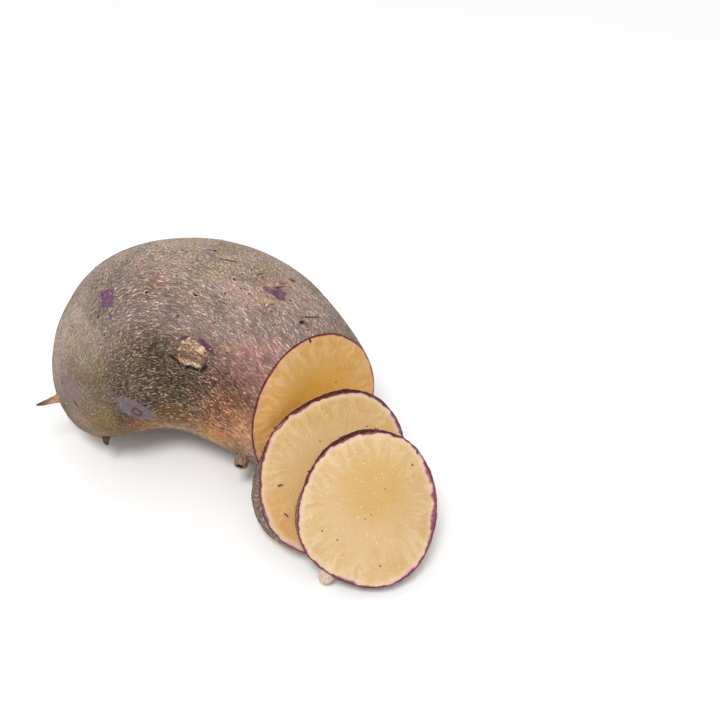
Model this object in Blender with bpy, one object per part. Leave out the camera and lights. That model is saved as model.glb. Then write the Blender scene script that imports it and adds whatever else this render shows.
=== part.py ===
"""A yacon root, cut across, with its two slices standing against the cut.

Three solids: the root itself with its rootlets, the middle slice and the front slice.
Lengths are in millimetres until they are put into a mesh, which is in metres.
+Z is up and everything rests on z = 0. The cut faces look towards -Y and up.
"""
import math

import bmesh
import bpy
from mathutils import Vector

MM = 0.001
WELD = 0.00001
SHARP_ANGLE = math.radians(40.0)

# Moves the middle of everything's footprint to the origin.
TO_CENTRE = Vector((49.77, 24.46, 0.0))

# The root bends round an upright line in front of it. Its round sections stand on planes
# that fan out from that line, from the blind end to the cut.
BEND = Vector((-76.0, -68.5, 0.0))
BLIND_TURN = 130.0      # degrees that the first section faces to the right of -Y
CUT_TURN = 36.0         # the same for the cut
CUT_LEAN = 18.0         # degrees that the cut faces up
LEAN_FROM = 0.4         # share of the length where the sections start to look up
DOME_SHARE = 0.42       # share of the length that the blind end takes to reach full girth
# Each row: reach from the bend line, height of the middle, radius, how much it leans oval.
ROOT_SECTIONS = (
    (61.5, 24.5, 40.5, -0.04),
    (69.0, 37.5, 40.0, -0.04),
    (75.0, 39.0, 39.0, -0.05),
    (75.5, 37.5, 38.0, 0.06),
    (73.5, 34.0, 36.0, 0.09),
    (72.5, 26.5, 28.5, 0.08),
)
# Low swellings of the skin: height, waves along the root, waves round it, phase.
SWELLINGS = ((0.25, 1.7, 2, 0.4), (0.12, 3.1, -3, 1.3))
DOME_RINGS = 18
BODY_RINGS = 26
POINTS_ROUND = 72

# Each slice: where the middle of its front face is, how that face is turned and leans back,
# its thickness, and the radius of its front and back rims at each clock hour from twelve on.
MIDDLE_SLICE = {
    "centre": (-10.1, -55.1, 22.6),
    "turn": 11.0,
    "lean": 57.0,
    "thickness": 8.0,
    "front": (26.7, 34.0, 31.7, 27.4, 26.6, 28.0, 30.1, 31.6, 30.9, 25.6, 26.0, 25.5),
    "back": (30.1, 37.7, 33.6, 28.6, 27.4, 27.7, 29.8, 29.4, 32.7, 29.7, 26.2, 28.1),
}
FRONT_SLICE = {
    "centre": (2.9, -71.9, 21.3),
    "turn": 3.0,
    "lean": 52.6,
    "thickness": 6.0,
    "front": (27.4, 29.2, 25.9, 24.3, 24.3, 27.5, 27.6, 25.7, 27.5, 24.4, 24.2, 25.9),
    "back": (29.5, 30.3, 26.7, 24.9, 24.9, 27.8, 27.5, 25.9, 27.1, 26.3, 24.0, 27.7),
}
WALL_RINGS = 4

# Rootlets and stubs: points from inside the flesh outwards, each with its radius.
TAIL = (
    ((-112.0, -12.0, 25.5), 2.0),
    ((-118.0, -16.5, 24.7), 1.8),
    ((-122.5, -18.5, 24.2), 1.2),
    ((-125.5, -19.5, 23.8), 0.8),
    ((-127.3, -20.0, 23.6), 0.4),
)
STUB = (((-99.4, -25.0, 17.5), 1.6), ((-99.4, -29.5, 14.6), 1.5), ((-99.3, -30.6, 12.2), 0.8))
KNOB = (
    ((-43.5, -37.0, 17.5), 2.1),
    ((-44.6, -40.5, 15.0), 2.4),
    ((-45.2, -42.4, 13.6), 2.6),
    ((-45.5, -43.4, 12.9), 2.0),
)
NUB = (((-10.2, -84.6, 7.2), 2.9), ((-12.0, -87.9, 3.7), 3.0), ((-12.7, -89.3, 2.8), 2.1))

SKIN_COLOUR = (0.27, 0.20, 0.16)
SKIN_ROUGHNESS = 0.8
FLESH_COLOUR = (0.78, 0.58, 0.30)
FLESH_ROUGHNESS = 0.45


def ease(t):
    t = min(max(t, 0.0), 1.0)
    return t * t * (3.0 - 2.0 * t)


def spline(rows, share):
    """The value of a smooth curve that starts at the first row and ends at the last."""
    first = [2.0 * a - b for a, b in zip(rows[0], rows[1])]
    last = [2.0 * a - b for a, b in zip(rows[-1], rows[-2])]
    points = [first, *rows, last]
    place = min(share * (len(rows) - 1), len(rows) - 1 - 1e-9)
    i = int(place)
    u = place - i
    weights = ((1 - u) ** 3, 3 * u**3 - 6 * u**2 + 4, -3 * u**3 + 3 * u**2 + 3 * u + 1, u**3)
    return [sum(w * points[i + k][c] for k, w in enumerate(weights)) / 6 for c in range(len(first))]


def facing(turn, lean):
    """Normal, right and up of a plane turned from -Y to the right and leaned back, in degrees."""
    a = math.radians(turn)
    e = math.radians(lean)
    normal = Vector((math.sin(a) * math.cos(e), -math.cos(a) * math.cos(e), math.sin(e)))
    right = Vector((math.cos(a), math.sin(a), 0.0))
    return normal, right, normal.cross(right)


def root_ring(share):
    """One section of the root, at a share of the way from the blind end to the cut."""
    reach, height, radius, oval = spline(ROOT_SECTIONS, share)
    turn = BLIND_TURN + (CUT_TURN - BLIND_TURN) * share
    lean = CUT_LEAN * ease((share - LEAN_FROM) / (1.0 - LEAN_FROM))
    right, up = facing(turn, lean)[1:]
    middle = BEND + reach * right + Vector((0.0, 0.0, height))
    dome = math.sqrt(max(0.0, 1.0 - (1.0 - min(share / DOME_SHARE, 1.0)) ** 2))
    ring = []
    for k in range(POINTS_ROUND):
        a = 2.0 * math.pi * k / POINTS_ROUND
        r = radius * (1.0 + oval * math.sin(2.0 * a))
        r += sum(h * math.sin(2.0 * math.pi * n * share + m * a + p) for h, n, m, p in SWELLINGS)
        ring.append(middle + dome * r * (math.cos(a) * right + math.sin(a) * up))
    return ring


def hour_radius(hours, angle):
    """Radius of a rim at an angle clockwise from twelve o'clock."""
    place = (angle / (2.0 * math.pi) * len(hours)) % len(hours)
    i = int(place)
    u = place - i
    weights = ((1 - u) ** 3, 3 * u**3 - 6 * u**2 + 4, -3 * u**3 + 3 * u**2 + 3 * u + 1, u**3)
    return sum(w * hours[(i + k - 1) % len(hours)] for k, w in enumerate(weights)) / 6


def slice_ring(cut, depth):
    """A slice's outline at a share of its thickness behind the front face."""
    normal, right, up = facing(cut["turn"], cut["lean"])
    middle = Vector(cut["centre"]) - depth * cut["thickness"] * normal
    ring = []
    for k in range(POINTS_ROUND):
        a = 2.0 * math.pi * k / POINTS_ROUND
        r = (1.0 - depth) * hour_radius(cut["front"], a) + depth * hour_radius(cut["back"], a)
        ring.append(middle + r * (math.sin(a) * right + math.cos(a) * up))
    return ring


def material(name, colour, roughness):
    made = bpy.data.materials.new(name)
    made.use_nodes = True
    shader = made.node_tree.nodes["Principled BSDF"]
    shader.inputs["Base Color"].default_value = (*colour, 1.0)
    shader.inputs["Roughness"].default_value = roughness
    shader.inputs["Metallic"].default_value = 0.0
    return made


def collection(name):
    made = bpy.data.collections.new(name)
    bpy.context.scene.collection.children.link(made)
    return made


def add_object(name, data, made_of, home):
    data.materials.clear()
    data.materials.append(made_of)
    made = bpy.data.objects.new(name, data)
    home.objects.link(made)
    return made


def loft(name, rings, made_of, home, pole=None):
    """Skins the rings into one closed solid, from a pole or a flat end to a flat end."""
    mesh = bmesh.new()
    rows = [[mesh.verts.new((p + TO_CENTRE) * MM) for p in ring] for ring in rings]
    for row, following in zip(rows, rows[1:]):
        for k in range(len(row)):
            j = (k + 1) % len(row)
            mesh.faces.new((row[k], row[j], following[j], following[k]))
    if pole is None:
        mesh.faces.new(rows[0])
    else:
        tip = mesh.verts.new((pole + TO_CENTRE) * MM)
        for k in range(len(rows[0])):
            mesh.faces.new((tip, rows[0][(k + 1) % len(rows[0])], rows[0][k]))
    mesh.faces.new(rows[-1])
    bmesh.ops.recalc_face_normals(mesh, faces=mesh.faces)
    data = bpy.data.meshes.new(name)
    mesh.to_mesh(data)
    mesh.free()
    return add_object(name, data, made_of, home)


def press_flat(piece):
    """Trims what would sink below z = 0, so that the piece rests on small flat spots."""
    mesh = bmesh.new()
    mesh.from_mesh(piece.data)
    everything = mesh.verts[:] + mesh.edges[:] + mesh.faces[:]
    bmesh.ops.bisect_plane(
        mesh, geom=everything, plane_co=(0, 0, 0), plane_no=(0, 0, 1), clear_inner=True
    )
    rims = [edge for edge in mesh.edges if edge.is_boundary]
    bmesh.ops.holes_fill(mesh, edges=rims, sides=0)
    bmesh.ops.recalc_face_normals(mesh, faces=mesh.faces)
    mesh.to_mesh(piece.data)
    mesh.free()


def rootlet(name, route, made_of, home):
    """A tapering round stem along the route, closed at both ends."""
    curve = bpy.data.curves.new(name, "CURVE")
    curve.dimensions = "3D"
    curve.bevel_depth = MM
    curve.bevel_resolution = 2
    curve.resolution_u = 3
    curve.use_fill_caps = True
    line = curve.splines.new("NURBS")
    line.points.add(len(route) - 1)
    for point, (place, radius) in zip(line.points, route):
        point.co = (*((Vector(place) + TO_CENTRE) * MM), 1.0)
        point.radius = radius
    line.order_u = 3
    line.use_endpoint_u = True
    guide = bpy.data.objects.new(name, curve)
    home.objects.link(guide)
    data = bpy.data.meshes.new_from_object(guide.evaluated_get(evaluated_scene()))
    remove_object(guide)
    mesh = bmesh.new()
    mesh.from_mesh(data)
    bmesh.ops.remove_doubles(mesh, verts=mesh.verts, dist=WELD)
    bmesh.ops.recalc_face_normals(mesh, faces=mesh.faces)
    mesh.to_mesh(data)
    mesh.free()
    return add_object(name, data, made_of, home)


def evaluated_scene():
    bpy.context.view_layer.update()
    return bpy.context.evaluated_depsgraph_get()


def grow_on(piece, stems):
    """Joins a collection of stems to the piece as one solid, then removes the stems."""
    union = piece.modifiers.new("grown_on", "BOOLEAN")
    union.operation = "UNION"
    union.operand_type = "COLLECTION"
    union.collection = stems
    joined = bpy.data.meshes.new_from_object(piece.evaluated_get(evaluated_scene()))
    piece.modifiers.remove(union)
    piece.data = joined
    for stem in list(stems.objects):
        remove_object(stem)


def shade(piece):
    piece.data.shade_smooth()
    piece.data.set_sharp_from_angle(angle=SHARP_ANGLE)


def remove_object(piece):
    bpy.data.objects.remove(piece, do_unlink=True)


def build():
    for piece in list(bpy.data.objects):
        remove_object(piece)
    parts = collection("yacon_root")
    skin = material("skin", SKIN_COLOUR, SKIN_ROUGHNESS)
    flesh = material("flesh", FLESH_COLOUR, FLESH_ROUGHNESS)

    dome = [1.0 - math.cos(0.5 * math.pi * k / DOME_RINGS) for k in range(1, DOME_RINGS)]
    shares = [DOME_SHARE * d for d in dome]
    shares += [DOME_SHARE + (1.0 - DOME_SHARE) * k / BODY_RINGS for k in range(BODY_RINGS + 1)]
    blind_end = sum(root_ring(0.0), Vector()) / POINTS_ROUND
    root = loft("root", [root_ring(s) for s in shares], skin, parts, pole=blind_end)
    press_flat(root)
    stems = collection("root_stems")
    for name, route in (("tail", TAIL), ("stub", STUB), ("knob", KNOB)):
        rootlet(name, route, skin, stems)
    grow_on(root, stems)
    shade(root)

    for name, cut in (("slice_middle", MIDDLE_SLICE), ("slice_front", FRONT_SLICE)):
        rings = [slice_ring(cut, k / WALL_RINGS) for k in range(WALL_RINGS + 1)]
        piece = loft(name, rings, flesh, parts)
        press_flat(piece)
        if name == "slice_front":
            rootlet("nub", NUB, flesh, stems)
            grow_on(piece, stems)
        shade(piece)
    bpy.data.collections.remove(stems)


build()
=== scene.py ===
"""Looks of a cut yacon root and of its two slices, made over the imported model.

Sizes are in millimetres and turned to metres as they go into a mesh. The skin and the slices
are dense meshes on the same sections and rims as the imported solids. Attributes carry the
patterns: "lengthwise" runs along the root and round it, "on_cut" is the place on a cut face
and the distance from its rim, "relief" says how high a fold stands, how deep the wrinkles are
and how smooth the skin is, and "hollow" is 1 inside a hollow.
"""
import math

import bmesh
import bpy
import numpy as np
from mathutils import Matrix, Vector, noise

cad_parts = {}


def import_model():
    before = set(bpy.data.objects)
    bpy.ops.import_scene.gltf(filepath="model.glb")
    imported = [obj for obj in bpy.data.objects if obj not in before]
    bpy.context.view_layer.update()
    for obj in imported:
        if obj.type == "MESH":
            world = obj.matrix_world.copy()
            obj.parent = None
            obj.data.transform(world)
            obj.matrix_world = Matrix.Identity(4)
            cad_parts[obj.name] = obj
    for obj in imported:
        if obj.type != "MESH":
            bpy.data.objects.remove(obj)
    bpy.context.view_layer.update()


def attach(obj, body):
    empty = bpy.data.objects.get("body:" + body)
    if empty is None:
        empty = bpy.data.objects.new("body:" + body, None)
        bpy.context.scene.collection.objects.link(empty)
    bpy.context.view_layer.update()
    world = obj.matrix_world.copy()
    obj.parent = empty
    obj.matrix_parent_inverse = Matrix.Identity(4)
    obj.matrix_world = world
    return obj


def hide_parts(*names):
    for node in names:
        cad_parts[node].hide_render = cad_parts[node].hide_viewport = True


MM = 0.001
FULL_TURN = 2.0 * math.pi

# The root's shape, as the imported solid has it.
TO_CENTRE = np.array((49.77, 24.46, 0.0))
BEND = np.array((-76.0, -68.5, 0.0))
BLIND_TURN = 130.0
CUT_TURN = 36.0
CUT_LEAN = 18.0
LEAN_FROM = 0.4
DOME_SHARE = 0.42
ROOT_SECTIONS = np.array(
    (
        (61.5, 24.5, 40.5, -0.04),
        (69.0, 37.5, 40.0, -0.04),
        (75.0, 39.0, 39.0, -0.05),
        (75.5, 37.5, 38.0, 0.06),
        (73.5, 34.0, 36.0, 0.09),
        (72.5, 26.5, 28.5, 0.08),
    )
)
SWELLINGS = ((0.25, 1.7, 2, 0.4), (0.12, 3.1, -3, 1.3))

# Each slice: the middle of its front face, how far that face is turned and leans back, its
# thickness, and the radius of its front and back rims at each clock hour from twelve on.
MIDDLE_SLICE = {
    "centre": (-10.1, -55.1, 22.6),
    "turn": 11.0,
    "lean": 57.0,
    "thickness": 8.0,
    "front": (27.1, 34.0, 31.7, 27.4, 26.6, 28.0, 30.1, 31.6, 30.9, 25.8, 26.3, 26.4),
    "back": (30.1, 37.7, 33.6, 28.6, 27.4, 27.7, 29.8, 29.4, 32.7, 29.7, 26.2, 28.1),
}
FRONT_SLICE = {
    "centre": (2.9, -71.9, 21.3),
    "turn": 3.0,
    "lean": 52.6,
    "thickness": 6.0,
    "front": (27.4, 29.2, 25.9, 24.3, 24.3, 27.5, 27.6, 25.7, 27.5, 24.4, 24.2, 25.9),
    "back": (29.5, 30.3, 26.7, 24.9, 24.9, 27.8, 27.5, 25.9, 27.1, 26.3, 24.0, 27.7),
}

# How finely everything is meshed.
SKIN_COLUMNS = 440
DOME_ROWS = 80
BODY_ROWS = 118
FACE_ROWS = 24
SLICE_COLUMNS = 300
SLICE_FACE_ROWS = 40
SLICE_WALL_ROWS = 22
STEM_RINGS = 26
STEM_SIDES = 28
SCAB_RINGS = 56
SCAB_SIDES = 128

# Waves of the surfaces: height, length and width of each.
LUMPS = (0.35, 15.0, 15.0)
FOLDS = (0.34, 13.0, 3.6)
CREASES = (0.34, 6.0, 1.9)
UNEVENNESS = (0.25, 16.0, 10.0)
MARK_GRAIN = (0.5, 1.6, 1.6)
FLESH_WAVES = (0.05, 5.0, 5.0)
PEEL_FOLDS = (0.3, 13.0, 7.2)
PEEL_CREASES = (0.22, 3.0, 1.6)
STEM_FOLDS = (0.16, 3.0, 0.8)
STEM_CREASES = (0.08, 1.0, 0.5)
SCAB_EDGE = ((0.10, 1.0, 1.0), (0.5, 1.0, 1.0))
SCAB_LAYERS = ((1.0, 9.0, 4.0), (0.6, 3.5, 1.5), (0.3, 1.6, 0.8))
SCAB_GRAIN = (0.25, 1.2, 0.6)
# How far folds and creases waver, and how much of them is left outside the deep wrinkles.
WAVER = 1.6
WAVER_SIZE = 6.0
SHALLOW_FOLDS = 0.08
SHALLOW_CREASES = 0.1
# The skin is smooth up to an angle round the root and up to a share of its length.
TOP_SMOOTH = 118.0
TOP_FADE = 28.0
BLIND_SMOOTH = 0.19
BLIND_FADE = 0.14
# Where the skin is cut: the lip that the knife leaves, and how high torn rind stands.
LIP_HEIGHT = 0.12
TORN_HEIGHT = 0.35
# Marks reach this far into the skin, and the blunt end of a stem stands up by this share.
MARK_DEPTH = 9.0
STEM_TIP = 0.35

# The setting; the floor, the light and the room are in metres and watts.
CAMERA_DISTANCE = 400.0
CAMERA_RISE = 40.0
CAMERA_AIM_HEIGHT = 30.0
LENS = 49.45
SENSOR = 36.0
# Degrees between faces past which the rims of the cuts are sharp.
SHARP_RIM = 50

FLOOR_SIZE = 4.0
FLOOR_DROP = 0.0002
FLOOR_TONES = ((0.93, 0.93, 0.93), (0.96, 0.96, 0.96))
LIGHT_PLACE = (-0.16, -0.84, 1.84)
LIGHT_SIZE = 0.7
LIGHT_POWER = 23.0
ROOM_STRENGTH = 0.72

# Colours as they would be in white light, from 0 to 1. Skin has one each for its crests,
# ridges, valleys and deep valleys; those over 1 and the pale ones multiply what is below.
# The crest colour is a painted highlight, and the valley and deep valley colours are
# painted shade.
SKIN_COLOURS = ((0.68, 0.52, 0.42), (0.46, 0.335, 0.275), (0.22, 0.16, 0.13), (0.075, 0.051, 0.038))
PEEL_COLOURS = ((0.72, 0.52, 0.40), (0.44, 0.31, 0.235), (0.15, 0.10, 0.075), (0.05, 0.035, 0.03))
# Painted shade: how much darker ridges are among deep wrinkles.
SUNK_RIDGE_SHADE = 0.86
GREEN_GREY = (0.72, 0.76, 0.68)
WARM_BROWN = (1.02, 0.91, 0.80)
PINK_TAUPE = (1.07, 0.95, 0.97)
SLATE = (0.78, 0.82, 0.90)
DUST = (0.56, 0.44, 0.33)
SOIL_BROWN = (0.10, 0.05, 0.025)
OVAL_BROWN = (0.17, 0.075, 0.025)
SORE_RED = (0.20, 0.06, 0.04)
BARED_PURPLE = (0.165, 0.064, 0.15)
SCRAPED_PURPLE = (0.195, 0.073, 0.19)
BRUISE_BLUE = (0.35, 0.275, 0.335)
# Black of cracks and slits, also painted shade under a flake, in the gap under the scar's plate and
# in hollow ends.
CRACK_AND_SHADE_BLACK = (0.018, 0.009, 0.006)
FADED_MAUVE = (0.36, 0.20, 0.24)
CORK = (0.40, 0.26, 0.155)
PALE_CORK = (0.72, 0.47, 0.29)
WARM_SHADE = (0.20, 0.125, 0.08)
LILAC = (0.27, 0.19, 0.33)
RIND_PURPLE = (0.21, 0.014, 0.052)
RIND_RED = (0.26, 0.018, 0.04)
RIND_BLACK = (0.022, 0.007, 0.013)
RIND_BLUSH = (0.42, 0.14, 0.22)
RIND_LILAC = (0.70, 0.48, 0.48)
RIND_SPOT = (0.35, 0.05, 0.10)
PALE_RIM = (0.74, 0.60, 0.42)
PALE_RAY = (1.10, 1.18, 1.45)
DEEP_RAY = (0.86, 0.75, 0.50)
RAY_GAP = (0.95, 0.88, 0.72)
SPECK_BROWN = (0.11, 0.012, 0.0)
STARCH = (0.92, 0.80, 0.56)
CLOUDY_FLESH = (0.96, 0.88, 0.66)
SCAR_CORK = ((0.84, 0.62, 0.43), (0.16, 0.085, 0.05))
GREY_CORK = (0.90, 0.86, 0.82)
WARM_CORK = (1.0, 0.87, 0.74)
LENTICEL_CORK = (0.66, 0.51, 0.37)
# Painted shade in the lenticels' hollows.
LENTICEL_HOLLOW_SHADE = (0.03, 0.016, 0.01)
CRUMB_TAN = (0.66, 0.50, 0.34)
SOIL_DARK = (0.045, 0.028, 0.02)
# The juice beads' near-white colours are painted glints, on top of their real gloss.
JUICE_GLINT_TONES = ((0.95, 0.86, 0.66), (1.0, 0.97, 0.9))

# Marks on the skin, in the order of painting: share of the way from the blind end to the cut,
# angle round the root, length and its turn from lengthwise, width and its turn; how square,
# ragged and soft; colour, its strength, and how far the mark stands above the skin.
MARKS = {
    "torn_rim": (0.828, 78.9, 15.5, 8, 16.0, 102, 0.0, 1.8, 0.30, CORK, 0.55, 0.15),
    "tan_edge": (0.824, 78.0, 10.0, 66, 1.6, -48, 0.0, 1.2, 0.30, PALE_CORK, 0.9, 0.25),
    "tan_flake": (0.856, 89.0, 5.0, 21, 2.6, 103, 0.3, 0.8, 0.15, PALE_CORK, 0.8, 0.35),
    "scar_ground": (0.650, 146.5, 14.0, -10, 13.5, 80, 0.0, 1.5, 0.35, CORK, 0.2, 0.2),
    "scraped_square": (
        0.244, 111.4, 7.5, -120, 6.6, -48, 0.9, 0.5, 0.10, SCRAPED_PURPLE, 0.88, -0.15,
    ),
    "small_scrape": (0.244, 123.0, 2.6, -100, 1.4, -19, 0.0, 0.8, 0.25, SCRAPED_PURPLE, 0.75, 0.0),
    "torn_patch": (0.857, 78.5, 6.4, -4, 5.0, 86, 0.1, 1.2, 0.08, BARED_PURPLE, 0.9, -0.25),
    "torn_tip": (0.838, 82.2, 7.6, 20, 2.6, 100, 0.0, 1.0, 0.10, BARED_PURPLE, 0.85, 0.0),
    "upper_slit": (0.834, 71.2, 3.2, 69, 0.9, 158, 0.0, 0.8, 0.20, CRACK_AND_SHADE_BLACK, 0.85, 0.0),
    "lower_slit": (0.840, 74.7, 5.0, 66, 0.9, 157, 0.0, 0.8, 0.20, CRACK_AND_SHADE_BLACK, 0.75, 0.0),
    "far_slit": (0.774, 77.5, 4.6, 77, 0.9, 166, 0.0, 0.8, 0.25, CRACK_AND_SHADE_BLACK, 0.7, 0.0),
    "brown_oval": (0.830, 60.9, 3.0, 14, 2.4, 105, 0.0, 0.5, 0.20, OVAL_BROWN, 0.95, -0.3),
    "flake_shadow": (0.866, 89.5, 4.6, 50, 0.8, 140, 0.0, 1.0, 0.25, CRACK_AND_SHADE_BLACK, 0.7, 0.0),
    "blue_bruise": (0.288, 185.5, 19.8, -64, 7.4, 49, 0.1, 0.5, 0.12, BRUISE_BLUE, 0.8, -0.12),
    "bruise_ring": (0.290, 186.9, 6.4, -69, 3.6, 50, 0.0, 0.5, 0.30, SOIL_BROWN, 0.75, 0.0),
    "bruise_dot": (0.290, 186.9, 3.6, -69, 1.8, 50, 0.0, 0.5, 0.30, BRUISE_BLUE, 0.7, 0.2),
    "faded_bruise": (0.020, 123.7, 11.6, -98, 11.0, -27, 0.3, 1.2, 0.15, FADED_MAUVE, 0.75, 0.0),
    "faded_tip": (0.026, 80.8, 6.6, -109, 3.2, -58, 0.0, 1.3, 0.25, BRUISE_BLUE, 0.65, 0.0),
    "faded_crack": (0.016, 148.5, 3.6, -90, 1.3, 2, 0.0, 0.8, 0.25, SOIL_BROWN, 0.8, 0.0),
    "faded_spot": (0.014, 163.4, 3.2, -73, 3.0, 14, 0.0, 1.0, 0.25, BRUISE_BLUE, 0.6, 0.0),
    "lilac_streak": (0.591, 83.0, 8.0, -20, 1.9, 92, 0.0, 0.9, 0.25, LILAC, 0.9, 0.0),
    "upper_scratch": (0.589, 79.1, 5.2, 3, 1.0, 97, 0.0, 1.0, 0.25, SOIL_BROWN, 0.85, 0.0),
    "lower_scratch": (0.662, 81.7, 7.8, 24, 1.0, 118, 0.0, 1.0, 0.25, SOIL_BROWN, 0.9, 0.0),
    "faint_blue": (0.268, 85.2, 6.5, -29, 5.2, -90, 0.0, 1.5, 0.50, BRUISE_BLUE, 0.35, 0.0),
    "scar_arc": (0.723, 139.4, 8.6, -15, 2.0, 75, 0.0, 1.4, 0.15, BARED_PURPLE, 1.0, -0.2),
    "scar_arc_end": (0.734, 148.7, 3.8, -67, 1.5, 23, 0.0, 0.8, 0.20, BARED_PURPLE, 1.0, 0.0),
    "scar_arc_start": (0.597, 141.3, 3.8, 44, 1.4, -46, 0.0, 1.0, 0.20, BARED_PURPLE, 0.9, 0.0),
    # Painted shade: a dark gap under the low edge of the scar's plate, on a real groove.
    "shaded_crack_left": (0.556, 154.9, 5.6, -33, 1.1, 57, 0.0, 0.9, 0.20, CRACK_AND_SHADE_BLACK, 0.95, -0.4),
    "shaded_crack_middle": (0.638, 156.6, 3.0, 59, 1.1, -31, 0.0, 0.9, 0.20, CRACK_AND_SHADE_BLACK, 0.95, -0.5),
    "shaded_crack_right": (0.679, 156.0, 5.4, -4, 1.3, 86, 0.0, 0.9, 0.20, CRACK_AND_SHADE_BLACK, 0.95, -0.6),
    "shaded_crack_end": (0.727, 153.8, 3.4, 69, 1.3, -21, 0.0, 0.9, 0.20, CRACK_AND_SHADE_BLACK, 0.95, -0.5),
    "rim_scratch": (0.949, 70.2, 9.4, 71, 0.9, -19, 0.0, 0.9, 0.25, CRACK_AND_SHADE_BLACK, 0.7, 0.0),
    "rim_hole": (0.954, 78.8, 2.2, 66, 1.7, -30, 0.0, 0.6, 0.25, CRACK_AND_SHADE_BLACK, 0.95, -0.7),
    "rim_sore": (0.965, 77.3, 2.6, 12, 1.6, 107, 0.0, 1.4, 0.40, SORE_RED, 0.6, 0.0),
    "lobe_arch": (0.099, 195.1, 3.4, -40, 1.1, 50, 0.0, 1.2, 0.30, SOIL_BROWN, 0.6, 0.0),
}

# Broad tints of the skin: place and size as for the marks, then what multiplies the colour.
# Some are painted light and shade, as marked below.
TINTS = (
    # Painted shade low on the side towards the camera, turned from the overhead light (this and the
    # next).
    ((0.52, 184.0, 50, 0, 34, 90), (0.84, 0.76, 0.66)),
    ((0.36, 160.0, 44, 0, 26, 90), (0.86, 0.80, 0.62)),
    # Painted light: warm light thrown up from the floor onto the low side.
    ((0.46, 202.0, 46, 0, 18, 90), (2.25, 1.94, 1.42)),
    ((0.94, 95.0, 42, 0, 52, 90), (1.30, 1.24, 1.31)),
    ((0.95, 152.0, 30, 0, 38, 90), (1.44, 1.00, 0.91)),
    ((0.96, 172.0, 28, 0, 22, 90), (1.46, 1.38, 1.43)),
    # Painted warm light from the floor on the low side, near the cut and under the blind end (this
    # and the next).
    ((0.84, 190.0, 40, 0, 30, 90), (1.28, 1.17, 0.82)),
    ((0.12, 208.0, 46, 0, 34, 90), (0.74, 0.60, 0.35)),
    # Painted light: the top lighter and greyer, with a sheen, as the light falls from above.
    ((0.56, 84.0, 80, 0, 34, 90), (1.24, 1.24, 1.17)),
    # Painted light: the blind end lit more from the left.
    ((0.09, 92.0, 40, -90, 26, 0), (1.30, 1.35, 1.33)),
    ((0.76, 82.0, 34, 0, 28, 90), (0.93, 0.91, 0.88)),
    ((0.24, 100.0, 34, 0, 26, 90), (0.80, 0.82, 0.83)),
    ((0.50, 128.0, 34, 0, 22, 90), (1.10, 1.05, 1.08)),
    ((0.68, 116.0, 32, 0, 24, 90), (1.16, 1.16, 1.20)),
    ((0.06, 150.0, 50, -90, 20, 0), (0.71, 0.70, 0.49)),
    ((0.05, 110.0, 22, -90, 16, 0), (0.84, 0.82, 0.76)),
    # Painted shade along a fold.
    ((0.73, 88.5, 24, 22, 3.2, 112), (0.72, 0.74, 0.72)),
    # Painted light on a ridge across the blind end.
    ((0.14, 97.0, 24, -95, 3.4, 0), (1.20, 1.18, 1.10)),
    ((0.14, 66.0, 28, -95, 4.0, 0), (0.80, 0.80, 0.80)),
    ((0.62, 150.0, 12, 10, 8, 100), (1.20, 1.10, 0.96)),
)
# Where the wrinkles are deep, with darker painted shade in their valleys: place and size as
# for the marks, then how deep.
DEEP_WRINKLES = (
    ((0.60, 175.0, 58, 0, 42, 90), 1.0),
    ((0.34, 166.0, 56, 0, 40, 90), 0.5),
    ((0.88, 172.0, 40, 0, 44, 90), 0.45),
)
# How square, ragged and soft the tints of the skin, the tints of the flesh and specks are.
SKIN_TINT_EDGE = (0.0, 1.6, 0.7)
FLESH_TINT_EDGE = (0.0, 0.9, 0.9)
SPECK_EDGE = (0.0, 0.9, 0.3)
# How far the dark rind shows on the skin from a cut, low down and along the top.
ROOT_RIND = (0.4, 0.4)
PEEL_RIND = (0.5, 6.0)

# Rootlets and stubs: points from inside the flesh outwards, each with its radius.
TAIL = (
    ((-112.0, -12.0, 25.5), 2.6),
    ((-116.0, -15.0, 25.0), 2.3),
    ((-119.5, -17.2, 24.6), 1.7),
    ((-122.5, -18.5, 24.2), 1.1),
    ((-125.5, -19.5, 23.8), 0.75),
    ((-127.2, -20.0, 23.6), 0.35),
)
STUB = (
    ((-99.4, -25.0, 17.5), 1.7),
    ((-99.4, -28.2, 15.4), 1.6),
    ((-99.5, -29.8, 13.9), 1.3),
    ((-99.2, -30.5, 12.3), 0.6),
)
KNOB = (
    ((-43.5, -37.0, 17.5), 1.9),
    ((-44.3, -39.9, 16.0), 2.2),
    ((-45.1, -42.4, 15.0), 2.6),
    ((-45.6, -44.2, 14.4), 2.5),
)
NUB = (
    ((-10.2, -84.6, 7.2), 2.9),
    ((-11.4, -86.9, 4.8), 3.0),
    ((-12.3, -88.5, 3.4), 2.7),
    ((-12.8, -89.5, 2.7), 1.5),
)
# Each stem: its piece, route, seed and the size of its hollow, then its material, which has
# light and dark fibres, a tip colour, and the places along X where that starts and is full.
STEMS = (
    (
        ("tail_rootlet", TAIL, 21, 0.0),
        ("dry_rootlet", (0.55, 0.30, 0.18), (0.25, 0.12, 0.07), SOIL_BROWN, -70.0, -76.5),
    ),
    (
        ("broken_stub", STUB, 24, 0.0),
        (
            "dark_rootlet", (0.12, 0.07, 0.04), (0.03, 0.018, 0.012), (0.02, 0.012, 0.01),
            -60.0, -80.0,
        ),
    ),
    (
        ("hollow_knob", KNOB, 27, 0.9),
        ("brown_rootlet", (0.38, 0.26, 0.17), (0.10, 0.06, 0.035), SOIL_BROWN, -60.0, -80.0),
    ),
    (
        ("slice_nub", NUB, 30, 0.0),
        ("nub_skin", (0.74, 0.58, 0.45), (0.52, 0.38, 0.28), CORK, -60.0, -80.0),
    ),
)
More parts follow.
